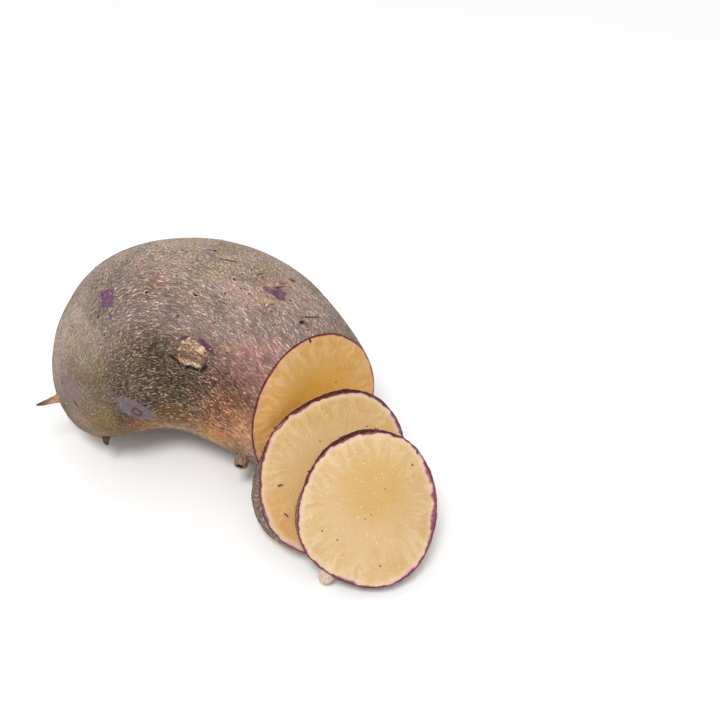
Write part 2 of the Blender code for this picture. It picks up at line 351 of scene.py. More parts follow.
# The hollow end of a stem: share of its radius, and depth behind the rim in hollow sizes.
HOLLOW_RINGS = ((0.86, -0.25), (0.68, -0.2), (0.52, 0.5), (0.42, 1.4), (0.22, 1.8))
HOLLOW_DEPTH = 1.9

# The corky plate of the scar: share of the length, angle round the root, and its radii every
# 22.5 degrees, from lengthwise towards its low side.
SCAB_PLACE = (0.647, 148.2)
SCAB_RADII = (5.6, 6.9, 6.7, 5.8, 5.0, 4.8, 5.2, 5.3, 5.7, 6.1, 6.2, 5.6, 4.2, 4.8, 5.9, 5.6)

# Lenticels and flakes that stand out: share of the length, angle round the root, radius.
LENTICELS = (
    (0.399, 118.9, 1.155), (0.607, 114.6, 1.305), (0.626, 110.4, 0.78), (0.493, 86.1, 0.78),
    (0.545, 93.7, 0.93), (0.722, 92.7, 1.38), (0.761, 95.1, 0.78), (0.795, 94.2, 0.93),
    (0.255, 99.5, 1.08), (0.278, 112.3, 0.78), (0.362, 100.5, 0.78), (0.372, 96.2, 0.63),
    (0.836, 98.1, 0.63), (0.839, 106.0, 0.63), (0.867, 99.6, 0.705), (0.886, 75.9, 0.78),
    (0.903, 86.9, 0.63), (0.966, 78.6, 0.555), (0.977, 78.2, 0.555), (0.706, 111.7, 0.555),
    (0.733, 109.8, 0.555), (0.753, 106.0, 0.48), (0.681, 90.3, 0.78),
)
FLAKES = (
    (0.858, 91.0, 1.5), (0.848, 90.2, 1.1), (0.828, 72.2, 0.9), (0.812, 86.0, 0.7),
    (0.840, 86.5, 0.6),
    (0.783, 100.5, 0.5), (0.412, 87.9, 0.7), (0.459, 88.0, 0.8), (0.619, 140.5, 0.9),
    (0.640, 139.0, 0.6),
    (0.600, 147.0, 0.7), (0.575, 153.0, 0.7), (0.700, 156.0, 0.5),
)
# The others: how many, their radius, and how much they are drawn to the top.
MORE_LENTICELS = (46, 0.5, 0.5)
MORE_FLAKES = (90, 0.38, 0.85)
SOIL_CRUMBS = (130, 0.34, 0.6)
CLEAR_OF_FLOOR = 3.0
CLEAR_OF_CUT = 0.95
# Juice on the cut faces: slice, how far out, how many, seed.
JUICE_SPREADS = ((FRONT_SLICE, 24.0, 34, 8), (MIDDLE_SLICE, 26.0, 22, 9))
JUICE_RADIUS = 0.13
# Slices' rims with shreds: slice, first and last hour, how many, seed.
RIM_SHREDS = (
    (MIDDLE_SLICE, 10.3, 12.8, 34, 3),
    (MIDDLE_SLICE, 9.2, 10.4, 7, 4),
    (FRONT_SLICE, 10.0, 12.6, 38, 5),
)
SHRED_SIZE = 0.7
SHRED_FIBRES = ("rind_shred", (0.26, 0.05, 0.06), (0.03, 0.008, 0.015), RIND_BLACK, 400.0, 500.0)

# Cut faces. rim is the thickness of the dark line at the sides, the top, the bottom and the
# right. Tints and specks have a place from the middle of the rim, length, width, turn and
# colour.
ROOT_FLESH = {
    # The deep ochre heart low on the face and the orange outer flesh are partly the flesh's own
    # colour, partly painted shade and warm light thrown between the face and the slices.
    "heart": (0.75, 0.38, 0.06),
    "outer": (0.62, 0.35, 0.105),
    "heart_place": (2.0, -10.0),
    "heart_size": 26.0,
    "rim": (0.35, 0.35, 0.4, 0.4),
    "rind": RIND_RED,
    "black_rim": 0.1,
    "pale_rim": 0.1,
    "rays_show": 0.9,
    "tints": (
        # Painted light: brighter low on the left of the face, where the slices shade it.
        (-20.0, 0.0, 18.0, 42.0, 0.0, (1.22, 1.17, 1.18)),
        (-12.0, 16.0, 34.0, 8.0, 48.0, (1.04, 1.08, 1.30)),
        (4.0, 9.0, 34.0, 9.0, 14.0, (1.04, 0.98, 0.72)),
    ),
    "specks": (
        (4.5, 27.9, 2.0, 1.0, 100.0, RIND_BLACK),
        (11.5, 7.2, 0.6, 0.5, 0.0, SPECK_BROWN),
        (-6.0, -2.0, 0.5, 0.4, 0.0, SPECK_BROWN),
    ),
}
MIDDLE_FLESH = {
    "heart": (0.53, 0.30, 0.054),
    "outer": (0.54, 0.335, 0.118),
    "heart_place": (0.0, -8.0),
    "heart_size": 20.0,
    "rim": (0.55, 0.6, 0.45, 0.8),
    "rind": RIND_PURPLE,
    "black_rim": 0.5,
    "pale_rim": 0.4,
    "rays_show": 0.8,
    "tints": (
        (-2.0, 24.0, 30.0, 12.0, 0.0, (0.93, 0.92, 0.74)),
        (-18.0, -16.0, 24.0, 14.0, -60.0, (0.98, 0.82, 0.50)),
    ),
    "specks": (
        (-20.0, -2.0, 2.2, 0.95, 6.0, SPECK_BROWN),
        (-19.3, -13.0, 2.2, 0.8, -50.0, SPECK_BROWN),
        (-10.0, 24.3, 0.8, 0.6, 0.0, SPECK_BROWN),
        (-3.2, 12.2, 0.7, 0.5, 0.0, SPECK_BROWN),
        (15.1, 15.4, 0.7, 0.5, 0.0, SPECK_BROWN),
        (-17.0, 19.8, 2.6, 1.3, 50.0, RIND_SPOT),
    ),
}
FRONT_FLESH = {
    "heart": (0.535, 0.32, 0.078),
    "outer": (0.575, 0.385, 0.165),
    "heart_place": (3.0, 8.0),
    "heart_size": 15.0,
    "rim": (0.5, 0.55, 0.6, 1.1),
    "rind": RIND_PURPLE,
    "black_rim": 0.5,
    "pale_rim": 0.4,
    "rays_show": 0.75,
    "tints": ((20.0, 0.0, 18.0, 44.0, 0.0, (0.93, 0.91, 0.88)),),
    "specks": (
        (16.4, 15.1, 0.9, 0.7, 60.0, SPECK_BROWN),
        (6.3, 6.9, 0.5, 0.4, 0.0, SPECK_BROWN),
        (0.9, -2.1, 0.6, 0.5, 0.0, SPECK_BROWN),
        (-1.3, -3.4, 0.9, 0.3, 40.0, SPECK_BROWN),
        (-16.6, -7.0, 0.7, 0.6, 0.0, SPECK_BROWN),
        (-11.4, -10.3, 0.7, 0.6, 0.0, SPECK_BROWN),
        (3.3, -19.9, 0.7, 0.5, 70.0, SPECK_BROWN),
        (18.4, 19.3, 1.6, 0.7, 110.0, RIND_BLACK),
    ),
}


# Shapes


def ease(t):
    t = np.clip(t, 0.0, 1.0)
    return t * t * (3.0 - 2.0 * t)


def curve_weights(u):
    return ((1 - u) ** 3, 3 * u**3 - 6 * u**2 + 4, -3 * u**3 + 3 * u**2 + 3 * u + 1, u**3)


def facing(turn, lean):
    """Normal, right and up of planes turned from -Y to the right and leaned back, in degrees."""
    a, e = np.broadcast_arrays(np.radians(turn), np.radians(lean))
    flat = np.cos(e)
    normal = np.stack([np.sin(a) * flat, -np.cos(a) * flat, np.sin(e)], axis=-1)
    right = np.stack([np.cos(a), np.sin(a), np.zeros_like(a)], axis=-1)
    return normal, right, np.cross(normal, right)


def skin_at(share, angle):
    """Points of the bare skin, in millimetres, at shares of the length and angles round it."""
    share, angle = np.broadcast_arrays(share, angle)
    rows = len(ROOT_SECTIONS)
    points = np.vstack(
        [
            2 * ROOT_SECTIONS[0] - ROOT_SECTIONS[1],
            ROOT_SECTIONS,
            2 * ROOT_SECTIONS[-1] - ROOT_SECTIONS[-2],
        ]
    )
    place = np.clip(share * (rows - 1), 0, rows - 1 - 1e-9)
    i = place.astype(int)
    weights = curve_weights((place - i)[..., None])
    section = sum(w * points[i + k] for k, w in enumerate(weights)) / 6
    reach, height, radius, oval = np.moveaxis(section, -1, 0)
    turn = BLIND_TURN + (CUT_TURN - BLIND_TURN) * share
    lean = CUT_LEAN * ease((share - LEAN_FROM) / (1 - LEAN_FROM))
    right, up = facing(turn, lean)[1:]
    dome = np.sqrt(np.maximum(0.0, 1.0 - (1.0 - np.clip(share / DOME_SHARE, 0, 1)) ** 2))
    r = radius * (1 + oval * np.sin(2 * angle))
    r = r + sum(h * np.sin(FULL_TURN * n * share + m * angle + p) for h, n, m, p in SWELLINGS)
    middle = BEND + reach[..., None] * right
    middle[..., 2] += height
    spoke = np.cos(angle)[..., None] * right + np.sin(angle)[..., None] * up
    return TO_CENTRE + middle + (dome * r)[..., None] * spoke


def unit(vectors):
    return vectors / np.maximum(np.linalg.norm(vectors, axis=-1, keepdims=True), 1e-9)


def skin_frame(share, angle):
    """Lengthwise and outward unit directions of the bare skin."""
    step = 1e-4
    lengthwise = unit(skin_at(share + step, angle) - skin_at(share - step, angle))
    round_it = unit(skin_at(share, angle + step) - skin_at(share, angle - step))
    return lengthwise, unit(np.cross(round_it, lengthwise))


def mark_frame(share, angle, length, turn, width, width_turn):
    """Middle of a mark, and the rows that measure a place in the mark's half sizes."""
    angle = math.radians(angle)
    share = np.array(float(share))
    lengthwise, outward = skin_frame(share, angle)
    # Turns are counted from lengthwise towards the direction in which the angle falls.
    across = np.cross(outward, lengthwise)
    half = []
    for size, direction in ((length, turn), (width, width_turn)):
        t = math.radians(direction)
        half.append(0.5 * size * (math.cos(t) * lengthwise + math.sin(t) * across))
    half.append(MARK_DEPTH * outward)
    return skin_at(share, angle), np.linalg.inv(np.column_stack(half))


def mark_amount(points, mark, softness):
    """From 0 outside a mark to 1 inside it."""
    middle, rows = mark_frame(*mark)
    away = np.linalg.norm((points - middle) @ rows.T, axis=-1)
    return ease((1.0 + softness - away) / (2.0 * softness))


def waves(places, size, seed):
    """Smooth noise on lengthwise places: size holds its height, length and width."""
    height, length, width = size
    scaled = places / np.array((length, width, width)) + seed * 7.3
    values = [noise.noise(p) for p in scaled.reshape(-1, 3).tolist()]
    return height * np.array(values).reshape(places.shape[:-1])


def folds(places, length, width, seed):
    """Sharp ridges that run lengthwise and waver, from -1 in the valleys to 1 on the ridges."""
    waver = waves(places, (1.0, 2 * WAVER_SIZE, WAVER_SIZE), seed + 50)
    waver = waver[..., None] * (0.0, WAVER, WAVER)
    return 1.0 - 3.4 * np.abs(waves(places + waver, (1.0, length, width), seed))


# Meshes


def add_object(name, data):
    made = bpy.data.objects.new(name, data)
    bpy.context.scene.collection.objects.link(made)
    return made


def add_attribute(data, name, values, kind="FLOAT_VECTOR"):
    layer = data.attributes.new(name, kind, "POINT")
    key = "vector" if kind == "FLOAT_VECTOR" else "value"
    layer.data.foreach_set(key, np.asarray(values, np.float32).ravel())


def solid(name, points, faces):
    """A new object with these points and faces, turned to face outwards."""
    data = bpy.data.meshes.new(name)
    data.from_pydata(points, [], faces)
    mesh = bmesh.new()
    mesh.from_mesh(data)
    if mesh.calc_volume(signed=True) < 0:
        bmesh.ops.reverse_faces(mesh, faces=mesh.faces)
    mesh.to_mesh(data)
    mesh.free()
    return add_object(name, data)


def closed_grid(name, rows, ends, patterns, materials, row_materials=None, blank=()):
    """Skins rows of points, closed round and at both ends, into one mesh.

    patterns holds each attribute's values on the rows. At the ends an attribute has the mean
    of the nearest row, or 0 where its name is in blank.
    """
    count, columns = rows.shape[:2]
    points = np.vstack([ends[0], rows.reshape(-1, 3), ends[1]]) * MM
    first = 1 + np.arange(count * columns).reshape(count, columns)
    after = np.roll(first, -1, axis=1)
    quads = np.stack([first[:-1], after[:-1], after[1:], first[1:]], axis=-1).reshape(-1, 4)
    last = len(points) - 1
    fans = [(0, b, a) for a, b in zip(first[0].tolist(), after[0].tolist())]
    far_fans = [(last, a, b) for a, b in zip(first[-1].tolist(), after[-1].tolist())]
    made = solid(name, points.tolist(), fans + quads.tolist() + far_fans)
    for made_of in materials:
        made.data.materials.append(made_of)
    if row_materials is not None:
        indices = np.repeat(np.concatenate([row_materials[:1], row_materials]), columns)
        made.data.polygons.foreach_set("material_index", indices.astype(np.int32))
    for key, values in patterns.items():
        start, end = values[[0, -1]].mean(axis=1) * (key not in blank)
        add_attribute(made.data, key, np.vstack([start, values.reshape(-1, 3), end]))
    return made


def root_piece(skin, flesh):
    """The root's skin with its folds and marks, and its cut face; also where the skin is."""
    dome = DOME_SHARE * (1 - np.cos(0.5 * math.pi * np.arange(1, DOME_ROWS) / DOME_ROWS))
    body = np.linspace(DOME_SHARE, 1.0, BODY_ROWS)
    share = np.concatenate([dome, body])[:, None]
    angle = np.linspace(0, FULL_TURN, SKIN_COLUMNS, endpoint=False)[None, :]
    bare = skin_at(share, angle)
    outward = skin_frame(share, angle)[1]
    lengthwise = lengthwise_places(bare, share, angle)
    rise, relief = skin_relief(bare, lengthwise, share, angle)
    skin_rows = bare + rise[..., None] * outward
    skin_rows[..., 2] = np.maximum(skin_rows[..., 2], 0.0)

    rim = skin_rows[-1]
    normal, right, up = facing(CUT_TURN, CUT_LEAN)
    lip = np.full(SKIN_COLUMNS, LIP_HEIGHT)
    face, heart, places = cut_face(rim, normal, right, up, FACE_ROWS, lip)
    gap = np.linalg.norm(np.diff(skin_rows, axis=0), axis=-1)
    on_skin = np.broadcast_to(rim_places(rim, right, up), skin_rows.shape).copy()
    on_skin[:-1, :, 2] = np.cumsum(gap[::-1], axis=0)[::-1]
    made = closed_grid(
        "root_skin",
        np.concatenate([skin_rows, face]),
        (skin_at(np.array(0.0), 0.0), heart),
        {
            "lengthwise": np.concatenate([lengthwise, np.broadcast_to(lengthwise[-1], face.shape)]),
            "on_cut": np.concatenate([on_skin, places]),
            "relief": np.concatenate([relief, np.zeros_like(face)]),
        },
        (skin, flesh),
        np.repeat([0, 1], (len(skin_rows) - 1, len(face) + 1)),
        blank=("relief",),
    )
    return made, {"share": share[:, 0], "points": skin_rows, "outward": outward}


def skin_relief(bare, lengthwise, share, angle):
    """How far the skin stands up, and its "relief": folds, depth of wrinkles, smoothness."""
    deep = [depth * mark_amount(bare, mark, softness=0.8) for mark, depth in DEEP_WRINKLES]
    deep = np.max(deep, axis=0)
    rise = waves(lengthwise, LUMPS, 1)
    folded = folds(lengthwise, *FOLDS[1:], 2)
    creased = folds(lengthwise, *CREASES[1:], 3)
    rise += 0.5 * FOLDS[0] * (SHALLOW_FOLDS + deep) * folded
    rise += 0.5 * CREASES[0] * (SHALLOW_CREASES + deep) * creased
    grain = 1.0 + waves(lengthwise, MARK_GRAIN, 4)
    for mark in MARKS.values():
        height = mark[-1]
        if height:
            rise += height * grain * mark_amount(bare, mark[:6], softness=0.25)

    # The skin is smooth along the top and over the blind end.
    degrees = np.degrees(angle)
    uneven = waves(lengthwise, UNEVENNESS, 31)
    top = ease((TOP_SMOOTH - degrees) / TOP_FADE + uneven) * ease((degrees - 8.0) / 30.0)
    blind = ease((BLIND_SMOOTH - share) / BLIND_FADE + uneven)
    smooth = np.maximum(top * ease((0.95 - share) / 0.15), blind)
    return rise, np.stack([0.6 * folded + 0.4 * creased, deep, smooth], axis=-1)


def lengthwise_places(bare, share, angle):
    """Places on a straightened root, so that a pattern runs along it without a seam."""
    steps = np.linalg.norm(np.diff(bare, axis=0), axis=-1)
    along = np.vstack([np.zeros(bare.shape[1]), np.cumsum(steps, axis=0)])
    along -= along[np.searchsorted(share[:, 0], 0.5)]
    girth = 38.0 * (0.35 + 0.65 * np.sqrt(1 - (1 - np.clip(share / DOME_SHARE, 0, 1)) ** 2))
    return np.stack([along, girth * np.cos(angle), girth * np.sin(angle)], axis=-1)


def rim_places(rim, right, up):
    """Places of a rim on its own plane, from the middle of the rim."""
    away = rim - rim.mean(axis=0)
    return np.stack([away @ right, away @ up, np.zeros(len(rim))], axis=-1)


def cut_face(rim, normal, right, up, rows, lip):
    """Rows from just inside a rim to the middle of a cut face, its middle, and their places."""
    middle = rim.mean(axis=0)
    share = 1.0 - np.linspace(0.0, 1.0, rows + 2)[1:-1] ** 1.3
    share = np.concatenate([[0.992, 0.975], share[share < 0.965]])[:, None, None]
    face = middle + share * (rim - middle)
    places = share * rim_places(rim, right, up)
    face = face + waves(places, FLESH_WAVES, 5)[..., None] * normal
    face[0] += lip[:, None] * normal
    places[..., 2] = (1.0 - share[..., 0]) * np.linalg.norm(rim - middle, axis=-1)
    return face, middle, places


def hour_radius(hours, angle):
    """Radius of a rim at angles clockwise from twelve o'clock."""
    hours = np.array(hours)
    place = (angle / FULL_TURN * len(hours)) % len(hours)
    i = place.astype(int)
    weights = curve_weights(place - i)
    return sum(w * hours[(i + k - 1) % len(hours)] for k, w in enumerate(weights)) / 6


def slice_piece(name, cut, skin, flesh):
    """A slice: its front face, its strip of skin and its back face."""
    normal, right, up = facing(cut["turn"], cut["lean"])
    middle = TO_CENTRE + np.array(cut["centre"])
    angle = np.linspace(0, FULL_TURN, SLICE_COLUMNS, endpoint=False)
    spoke = np.sin(angle)[:, None] * right + np.cos(angle)[:, None] * up
    share = np.linspace(0, 1, SLICE_WALL_ROWS)[:, None]
    depth = share * cut["thickness"]
    radius = (1 - share) * hour_radius(cut["front"], angle)
    radius = radius + share * hour_radius(cut["back"], angle)
    across, upwards = radius * np.sin(angle), radius * np.cos(angle)
    places = np.stack([np.broadcast_to(depth, radius.shape), across, upwards], axis=-1)
    # The knife tears the skin most along the top of a slice.
    torn = TORN_HEIGHT * ease(0.5 + np.cos(angle))
    rough = waves(places, PEEL_FOLDS, 6)
    rough += waves(places, PEEL_CREASES, 7)
    rough += torn * waves(places, (1.0, 4.0, 1.7), 8) * (1.0 - 0.6 * share)
    wall = middle - depth[..., None] * normal + (radius + rough)[..., None] * spoke
    wall[..., 2] = np.maximum(wall[..., 2], 0.0)

    lip = LIP_HEIGHT + torn * np.maximum(0.0, waves(places[0], (1.0, 4.0, 2.0), 9))
    front, heart, front_places = cut_face(wall[0], normal, right, up, SLICE_FACE_ROWS, lip)
    back, far_heart, back_places = cut_face(
        wall[-1], -normal, right, up, SLICE_FACE_ROWS // 2, 0 * lip
    )
    on_wall = np.broadcast_to(rim_places(wall[0], right, up), wall.shape).copy()
    on_wall[..., 2] = np.minimum(share, 1.0 - share) * cut["thickness"]
    at_front = np.broadcast_to(places[0], front.shape)
    at_back = np.broadcast_to(places[-1], back.shape)
    return closed_grid(
        name,
        np.concatenate([front[::-1], wall, back]),
        (heart, far_heart),
        {
            "lengthwise": np.concatenate([at_front, places, at_back]),
            "on_cut": np.concatenate([front_places[::-1], on_wall, back_places]),
        },
        (skin, flesh),
        np.repeat([1, 0, 1], (len(front), len(wall) - 1, len(back) + 1)),
    )


def stem_piece(name, route, seed, hollow, made_of):
    """A wrinkled rootlet along the route, closed at both ends, or with a hollow broken end."""
    places = np.array([place for place, _ in route]) + TO_CENTRE
    radii = np.array([radius for _, radius in route])
    knots = np.arange(len(route))
    along = np.linspace(0, len(route) - 1, STEM_RINGS)
    # A little smoothing rounds the corners of the route.
    centre = np.stack([np.interp(along, knots, places[:, c]) for c in range(3)], axis=-1)
    for _ in range(3):
        centre[1:-1] = 0.25 * centre[:-2] + 0.5 * centre[1:-1] + 0.25 * centre[2:]
    radius = np.interp(along, knots, radii)[:, None]
    direction = unit(np.gradient(centre, axis=0))
    side = unit(np.cross(direction, (0.0, 0.0, 1.0)))
    over = np.cross(side, direction)[:, None]
    angle = np.linspace(0, FULL_TURN, STEM_SIDES, endpoint=False)
    length = np.broadcast_to(along[:, None] * 2.0, (STEM_RINGS, STEM_SIDES))
    grown = np.stack([length, radius * np.cos(angle), radius * np.sin(angle)], axis=-1)
    rough = 1.0 + waves(grown, STEM_FOLDS, seed) + waves(grown, STEM_CREASES, seed + 1)
    spoke = np.cos(angle)[:, None] * side[:, None] + np.sin(angle)[:, None] * over
    rows = centre[:, None] + (radius * rough)[..., None] * spoke
    tip = centre[-1] + STEM_TIP * radii[-1] * direction[-1]
    if hollow:
        inner = [
            centre[-1] + share * (rows[-1] - centre[-1]) - back * hollow * direction[-1]
            for share, back in HOLLOW_RINGS
        ]
        rows = np.concatenate([rows, inner])
        grown = np.concatenate([grown, np.repeat(grown[-1:], len(inner), axis=0)])
        tip = centre[-1] - HOLLOW_DEPTH * hollow * direction[-1]
    inside = np.zeros_like(grown)
    inside[STEM_RINGS + 2 :, :, 0] = 1.0
    patterns = {"lengthwise": grown, "on_cut": far_from_cut(grown), "hollow": inside}
    return closed_grid(name, rows, (centre[0], tip), patterns, (made_of,))


def far_from_cut(rows):
    """Places on no cut face, well away from any rim."""
    return np.broadcast_to((0.0, 0.0, 9.0), rows.shape)


def scab_piece(made_of):
    """The corky plate of the scar: broken layers whose rim goes under the skin."""
    share, angle = SCAB_PLACE
    angle = math.radians(angle)
    step = 1e-3
    here = skin_at(share, angle)
    share_in_mm = step / np.linalg.norm(skin_at(share + step, angle) - here)
    angle_in_mm = step / np.linalg.norm(skin_at(share, angle + step) - here)
    spin = np.linspace(0, FULL_TURN, SCAB_SIDES, endpoint=False)
    ring = np.linspace(0, 1, SCAB_RINGS)[1:, None]
    circle = np.stack([np.cos(spin), np.sin(spin), 0 * spin], axis=-1)
    edge = hour_radius(SCAB_RADII, spin) * (1.0 + waves(4.0 * circle, SCAB_EDGE[0], 12))
    edge += waves(11.0 * circle, SCAB_EDGE[1], 16)
    u = ring * edge * np.cos(spin)
    v = ring * edge * np.sin(spin)
    share = share + u * share_in_mm
    angle = angle - v * angle_in_mm
    start = skin_at(share, angle)
    outward = skin_frame(share, angle)[1]
    grown = np.stack([u, v, 0.0 * u], axis=-1)
    # Layers broken off in steps, with fine grain on each.
    level = 4.0 * sum(waves(grown, size, 13 + k) for k, size in enumerate(SCAB_LAYERS))
    whole = np.floor(level)
    layer = (whole + ease((level - whole - 0.5) * 5.0 + 0.5)) / 4.0
    rise = 0.9 + 0.9 * layer + waves(grown, SCAB_GRAIN, 17)
    # The low side of the plate has come loose and stands up.
    rise += 0.25 * ease(v / 5.0)
    rise = rise * ease((1.03 - ring) * 9.0) - 0.5 * ease((ring - 0.94) * 16.0)
    rows = start + rise[..., None] * outward
    under = (start - 0.9 * outward)[::-1][::8]
    everything = np.concatenate([rows, under])
    layer = np.concatenate([layer, layer[::-1][::8]])
    return closed_grid(
        "scar_cork",
        everything,
        (rows[0].mean(axis=0), under[-1].mean(axis=0)),
        {
            "lengthwise": np.concatenate([grown, grown[::-1][::8]]),
            "on_cut": far_from_cut(everything),
            "relief": np.stack([layer, 0 * layer, 0 * layer], axis=-1),
        },
        (made_of,),
        blank=("lengthwise", "relief"),
    )


# Small things that stand on a surface


def small_shape(name, profile, sides, squash=1.0, rough=0.0, hollow=None):
    """A round shape turned from (radius, height) pairs, first and last on its axis.

    hollow gives, for each pair, how deep in a hollow it lies, from 0 to 1.
    """
    rings = len(profile) - 2
    points = [(0.0, 0.0, profile[0][1])]
    for radius, height in profile[1:-1]:
        for k in range(sides):
            x, y = math.cos(FULL_TURN * k / sides), math.sin(FULL_TURN * k / sides)
            r = 1.0 + rough * noise.noise((2.0 * x, 2.0 * y, 3.0 * height))
            points.append((radius * r * x, squash * radius * r * y, height * r))
    points.append((0.0, 0.0, profile[-1][1]))
    faces = []
    for k in range(sides):
        j = (k + 1) % sides
        faces.append((0, 1 + k, 1 + j))
        for i in range(rings - 1):
            a, b = 1 + i * sides, 1 + (i + 1) * sides
            faces.append((a + k, b + k, b + j, a + j))
        last = 1 + (rings - 1) * sides
        faces.append((len(points) - 1, last + j, last + k))
    made = solid(name, points, faces)
    depths = np.repeat(hollow or [0.0] * len(profile), [1] + [sides] * rings + [1])
    add_attribute(made.data, "hollow", np.stack([depths, 0 * depths, 0 * depths], axis=-1))
    made.data.shade_smooth()
    return made


def lenticel_shape():
    """A small crater: a corky lip round a hollow, one unit in radius."""
    bowl = ((0.0, 0.02), (0.40, 0.04), (0.60, 0.22))
    lip = ((0.78, 0.40), (0.98, 0.14), (1.15, -0.25), (0.0, -0.3))
    depths = (1.0, 0.8, 0.1, 0.0, 0.0, 0.0, 0.0)
    return small_shape("lenticel", bowl + lip, 12, squash=0.62, rough=0.7, hollow=depths)


def crumb_shape():
    """A flat uneven flake, one unit in radius."""
    profile = ((0.0, 0.35), (0.6, 0.34), (1.0, 0.12), (0.9, -0.15), (0.0, -0.2))
    return small_shape("crumb", profile, 9, squash=0.6, rough=0.9)


def bead_shape():
    """A low drop, one unit in radius."""
    profile = ((0.0, 0.7), (0.5, 0.6), (0.85, 0.3), (1.0, -0.1), (0.0, -0.15))
    return small_shape("bead", profile, 10)


def shred_shape():
    """A curled scrap of rind, about two units long, standing on its end."""
    points, faces = [], []
    for k in range(7):
        t = k / 6
        wide = 0.5 * (1.0 - 0.6 * t)
        x, z = 0.8 * t * t, 1.5 * t - 0.35
        for side, thick in ((-1, 0.06), (1, 0.06), (1, -0.06), (-1, -0.06)):
            points.append((x + thick, side * wide, z))
    for k in range(0, 24, 4):
        for c in range(4):
            d = (c + 1) % 4
            faces.append((k + c, k + 4 + c, k + 4 + d, k + d))
    faces += [(0, 1, 2, 3), (27, 26, 25, 24)]
    return solid("shred", points, faces)


def standing_tree():
    """Geometry Nodes that put a shape on each point, square to its surface, and make it real."""
    paint, given, out = node_group(
        "stand_on_surface",
        {
            "Points": "Geometry",
            "Shape": "Object",
            "Size Spread": "Float",
            "Tilt": "Float",
            "Seed": "Int",
            "Finish": "Material",
        },
        {"Pieces": "Geometry"},
        kind="GeometryNodeTree",
    )

    def own(name, kind):
        made = paint.node("GeometryNodeInputNamedAttribute", data_type=kind)
        made.inputs["Name"].default_value = name
        return made.outputs["Attribute"]

    def any_vector(low, high):
        made = paint.node("FunctionNodeRandomValue", data_type="FLOAT_VECTOR")
        made.inputs["Min"].default_value = low
        made.inputs["Max"].default_value = high
        paint.feed(made.inputs["Seed"], given["Seed"])
        return made.outputs["Value"]

    lean = paint.node("ShaderNodeVectorMath", operation="SCALE")
    paint.feed(lean.inputs[0], any_vector((-1, -1, -1), (1, 1, 1)))
    paint.feed(lean.inputs["Scale"], given["Tilt"])
    leant = paint.vector("ADD", own("outward", "FLOAT_VECTOR"), lean.outputs["Vector"])
    align = paint.node("FunctionNodeAlignRotationToVector", axis="Z")
    paint.feed(align.inputs["Vector"], leant)
    turned = paint.node("FunctionNodeRotateRotation", rotation_space="LOCAL")
    paint.feed(turned.inputs["Rotation"], align.outputs["Rotation"])
    paint.feed(turned.inputs["Rotate By"], any_vector((0, 0, 0), (0, 0, FULL_TURN)))

    spread = paint.node("FunctionNodeRandomValue", data_type="FLOAT")
    paint.feed(spread.inputs["Seed"], given["Seed"])
    sockets = {s.name: s for s in spread.inputs if s.type == "VALUE"}
    paint.feed(sockets["Min"], paint.maths("SUBTRACT", 1.0, given["Size Spread"]))
    paint.feed(sockets["Max"], paint.maths("ADD", 1.0, given["Size Spread"]))
    factor = [s for s in spread.outputs if s.type == "VALUE"][0]

    shape = paint.node("GeometryNodeObjectInfo")
    paint.feed(shape.inputs["Object"], given["Shape"])
    placed = paint.node("GeometryNodeInstanceOnPoints")
    paint.feed(placed.inputs["Points"], given["Points"])
    paint.feed(placed.inputs["Instance"], shape.outputs["Geometry"])
    paint.feed(placed.inputs["Rotation"], turned.outputs["Rotation"])
    paint.feed(placed.inputs["Scale"], paint.times(own("size", "FLOAT"), factor))
    real = paint.node("GeometryNodeRealizeInstances")
    paint.feed(real.inputs["Geometry"], placed.outputs["Instances"])
    finish = paint.node("GeometryNodeSetMaterial")
    paint.feed(finish.inputs["Geometry"], real.outputs["Geometry"])
    paint.feed(finish.inputs["Material"], given["Finish"])
    paint.feed(out["Pieces"], finish.outputs["Geometry"])
    return paint.tree


def stand_on(name, places, sizes, shape, tree, made_of, spread, tilt, seed):
    """Puts a shape on every place and returns them all as one plain mesh."""
    points, outward = places
    data = bpy.data.meshes.new("places")
    data.from_pydata((points * MM).tolist(), [], [])
    add_attribute(data, "outward", outward)
    add_attribute(data, "size", np.array(sizes, np.float32) * MM, "FLOAT")
    seeds = add_object("places", data)
    grow = seeds.modifiers.new("stand", "NODES")
    grow.node_group = tree
    wanted = {"Shape": shape, "Size Spread": spread, "Tilt": tilt, "Seed": seed, "Finish": made_of}
    for item in tree.interface.items_tree:
        if item.in_out == "INPUT" and item.name in wanted:
            grow[item.identifier] = wanted[item.name]
    seen = seeds.evaluated_get(bpy.context.evaluated_depsgraph_get())
    made = add_object(name, bpy.data.meshes.new_from_object(seen))
    bpy.data.objects.remove(seeds)
    bpy.data.objects.remove(shape)
    return made


def skin_places(surface, rows):
    """Points on the wrinkled skin and outward directions at (share, degrees round) rows."""
    shares = np.searchsorted(surface["share"], [row[0] for row in rows])
    shares = np.clip(shares, 0, len(surface["share"]) - 1)
    columns = np.round(np.array([row[1] for row in rows]) / 360.0 * SKIN_COLUMNS).astype(int)
    columns %= SKIN_COLUMNS
    return surface["points"][shares, columns], surface["outward"][shares, columns]


def scattered_on_skin(surface, count, topness, seed):
    """Evenly spread random places on the skin, clear of the underside; topness draws them up."""
    draw = np.random.default_rng(seed)
    points = surface["points"]
    along = np.linalg.norm(points[1:, :-1] - points[:-1, :-1], axis=-1)
    around = np.linalg.norm(points[:-1, 1:] - points[:-1, :-1], axis=-1)
    weight = along * around * (points[:-1, :-1, 2] > CLEAR_OF_FLOOR)
    weight = weight * (surface["share"][:-1, None] < CLEAR_OF_CUT)
    facing_up = 1.0 - topness + topness * surface["outward"][:-1, :-1, 2]
    weight = weight * np.maximum(0.02, facing_up)
    weight = weight.ravel() / weight.sum()
    chosen = draw.choice(len(weight), count, replace=False, p=weight)
    rows, columns = np.unravel_index(chosen, along.shape)
    return points[rows, columns], surface["outward"][rows, columns]


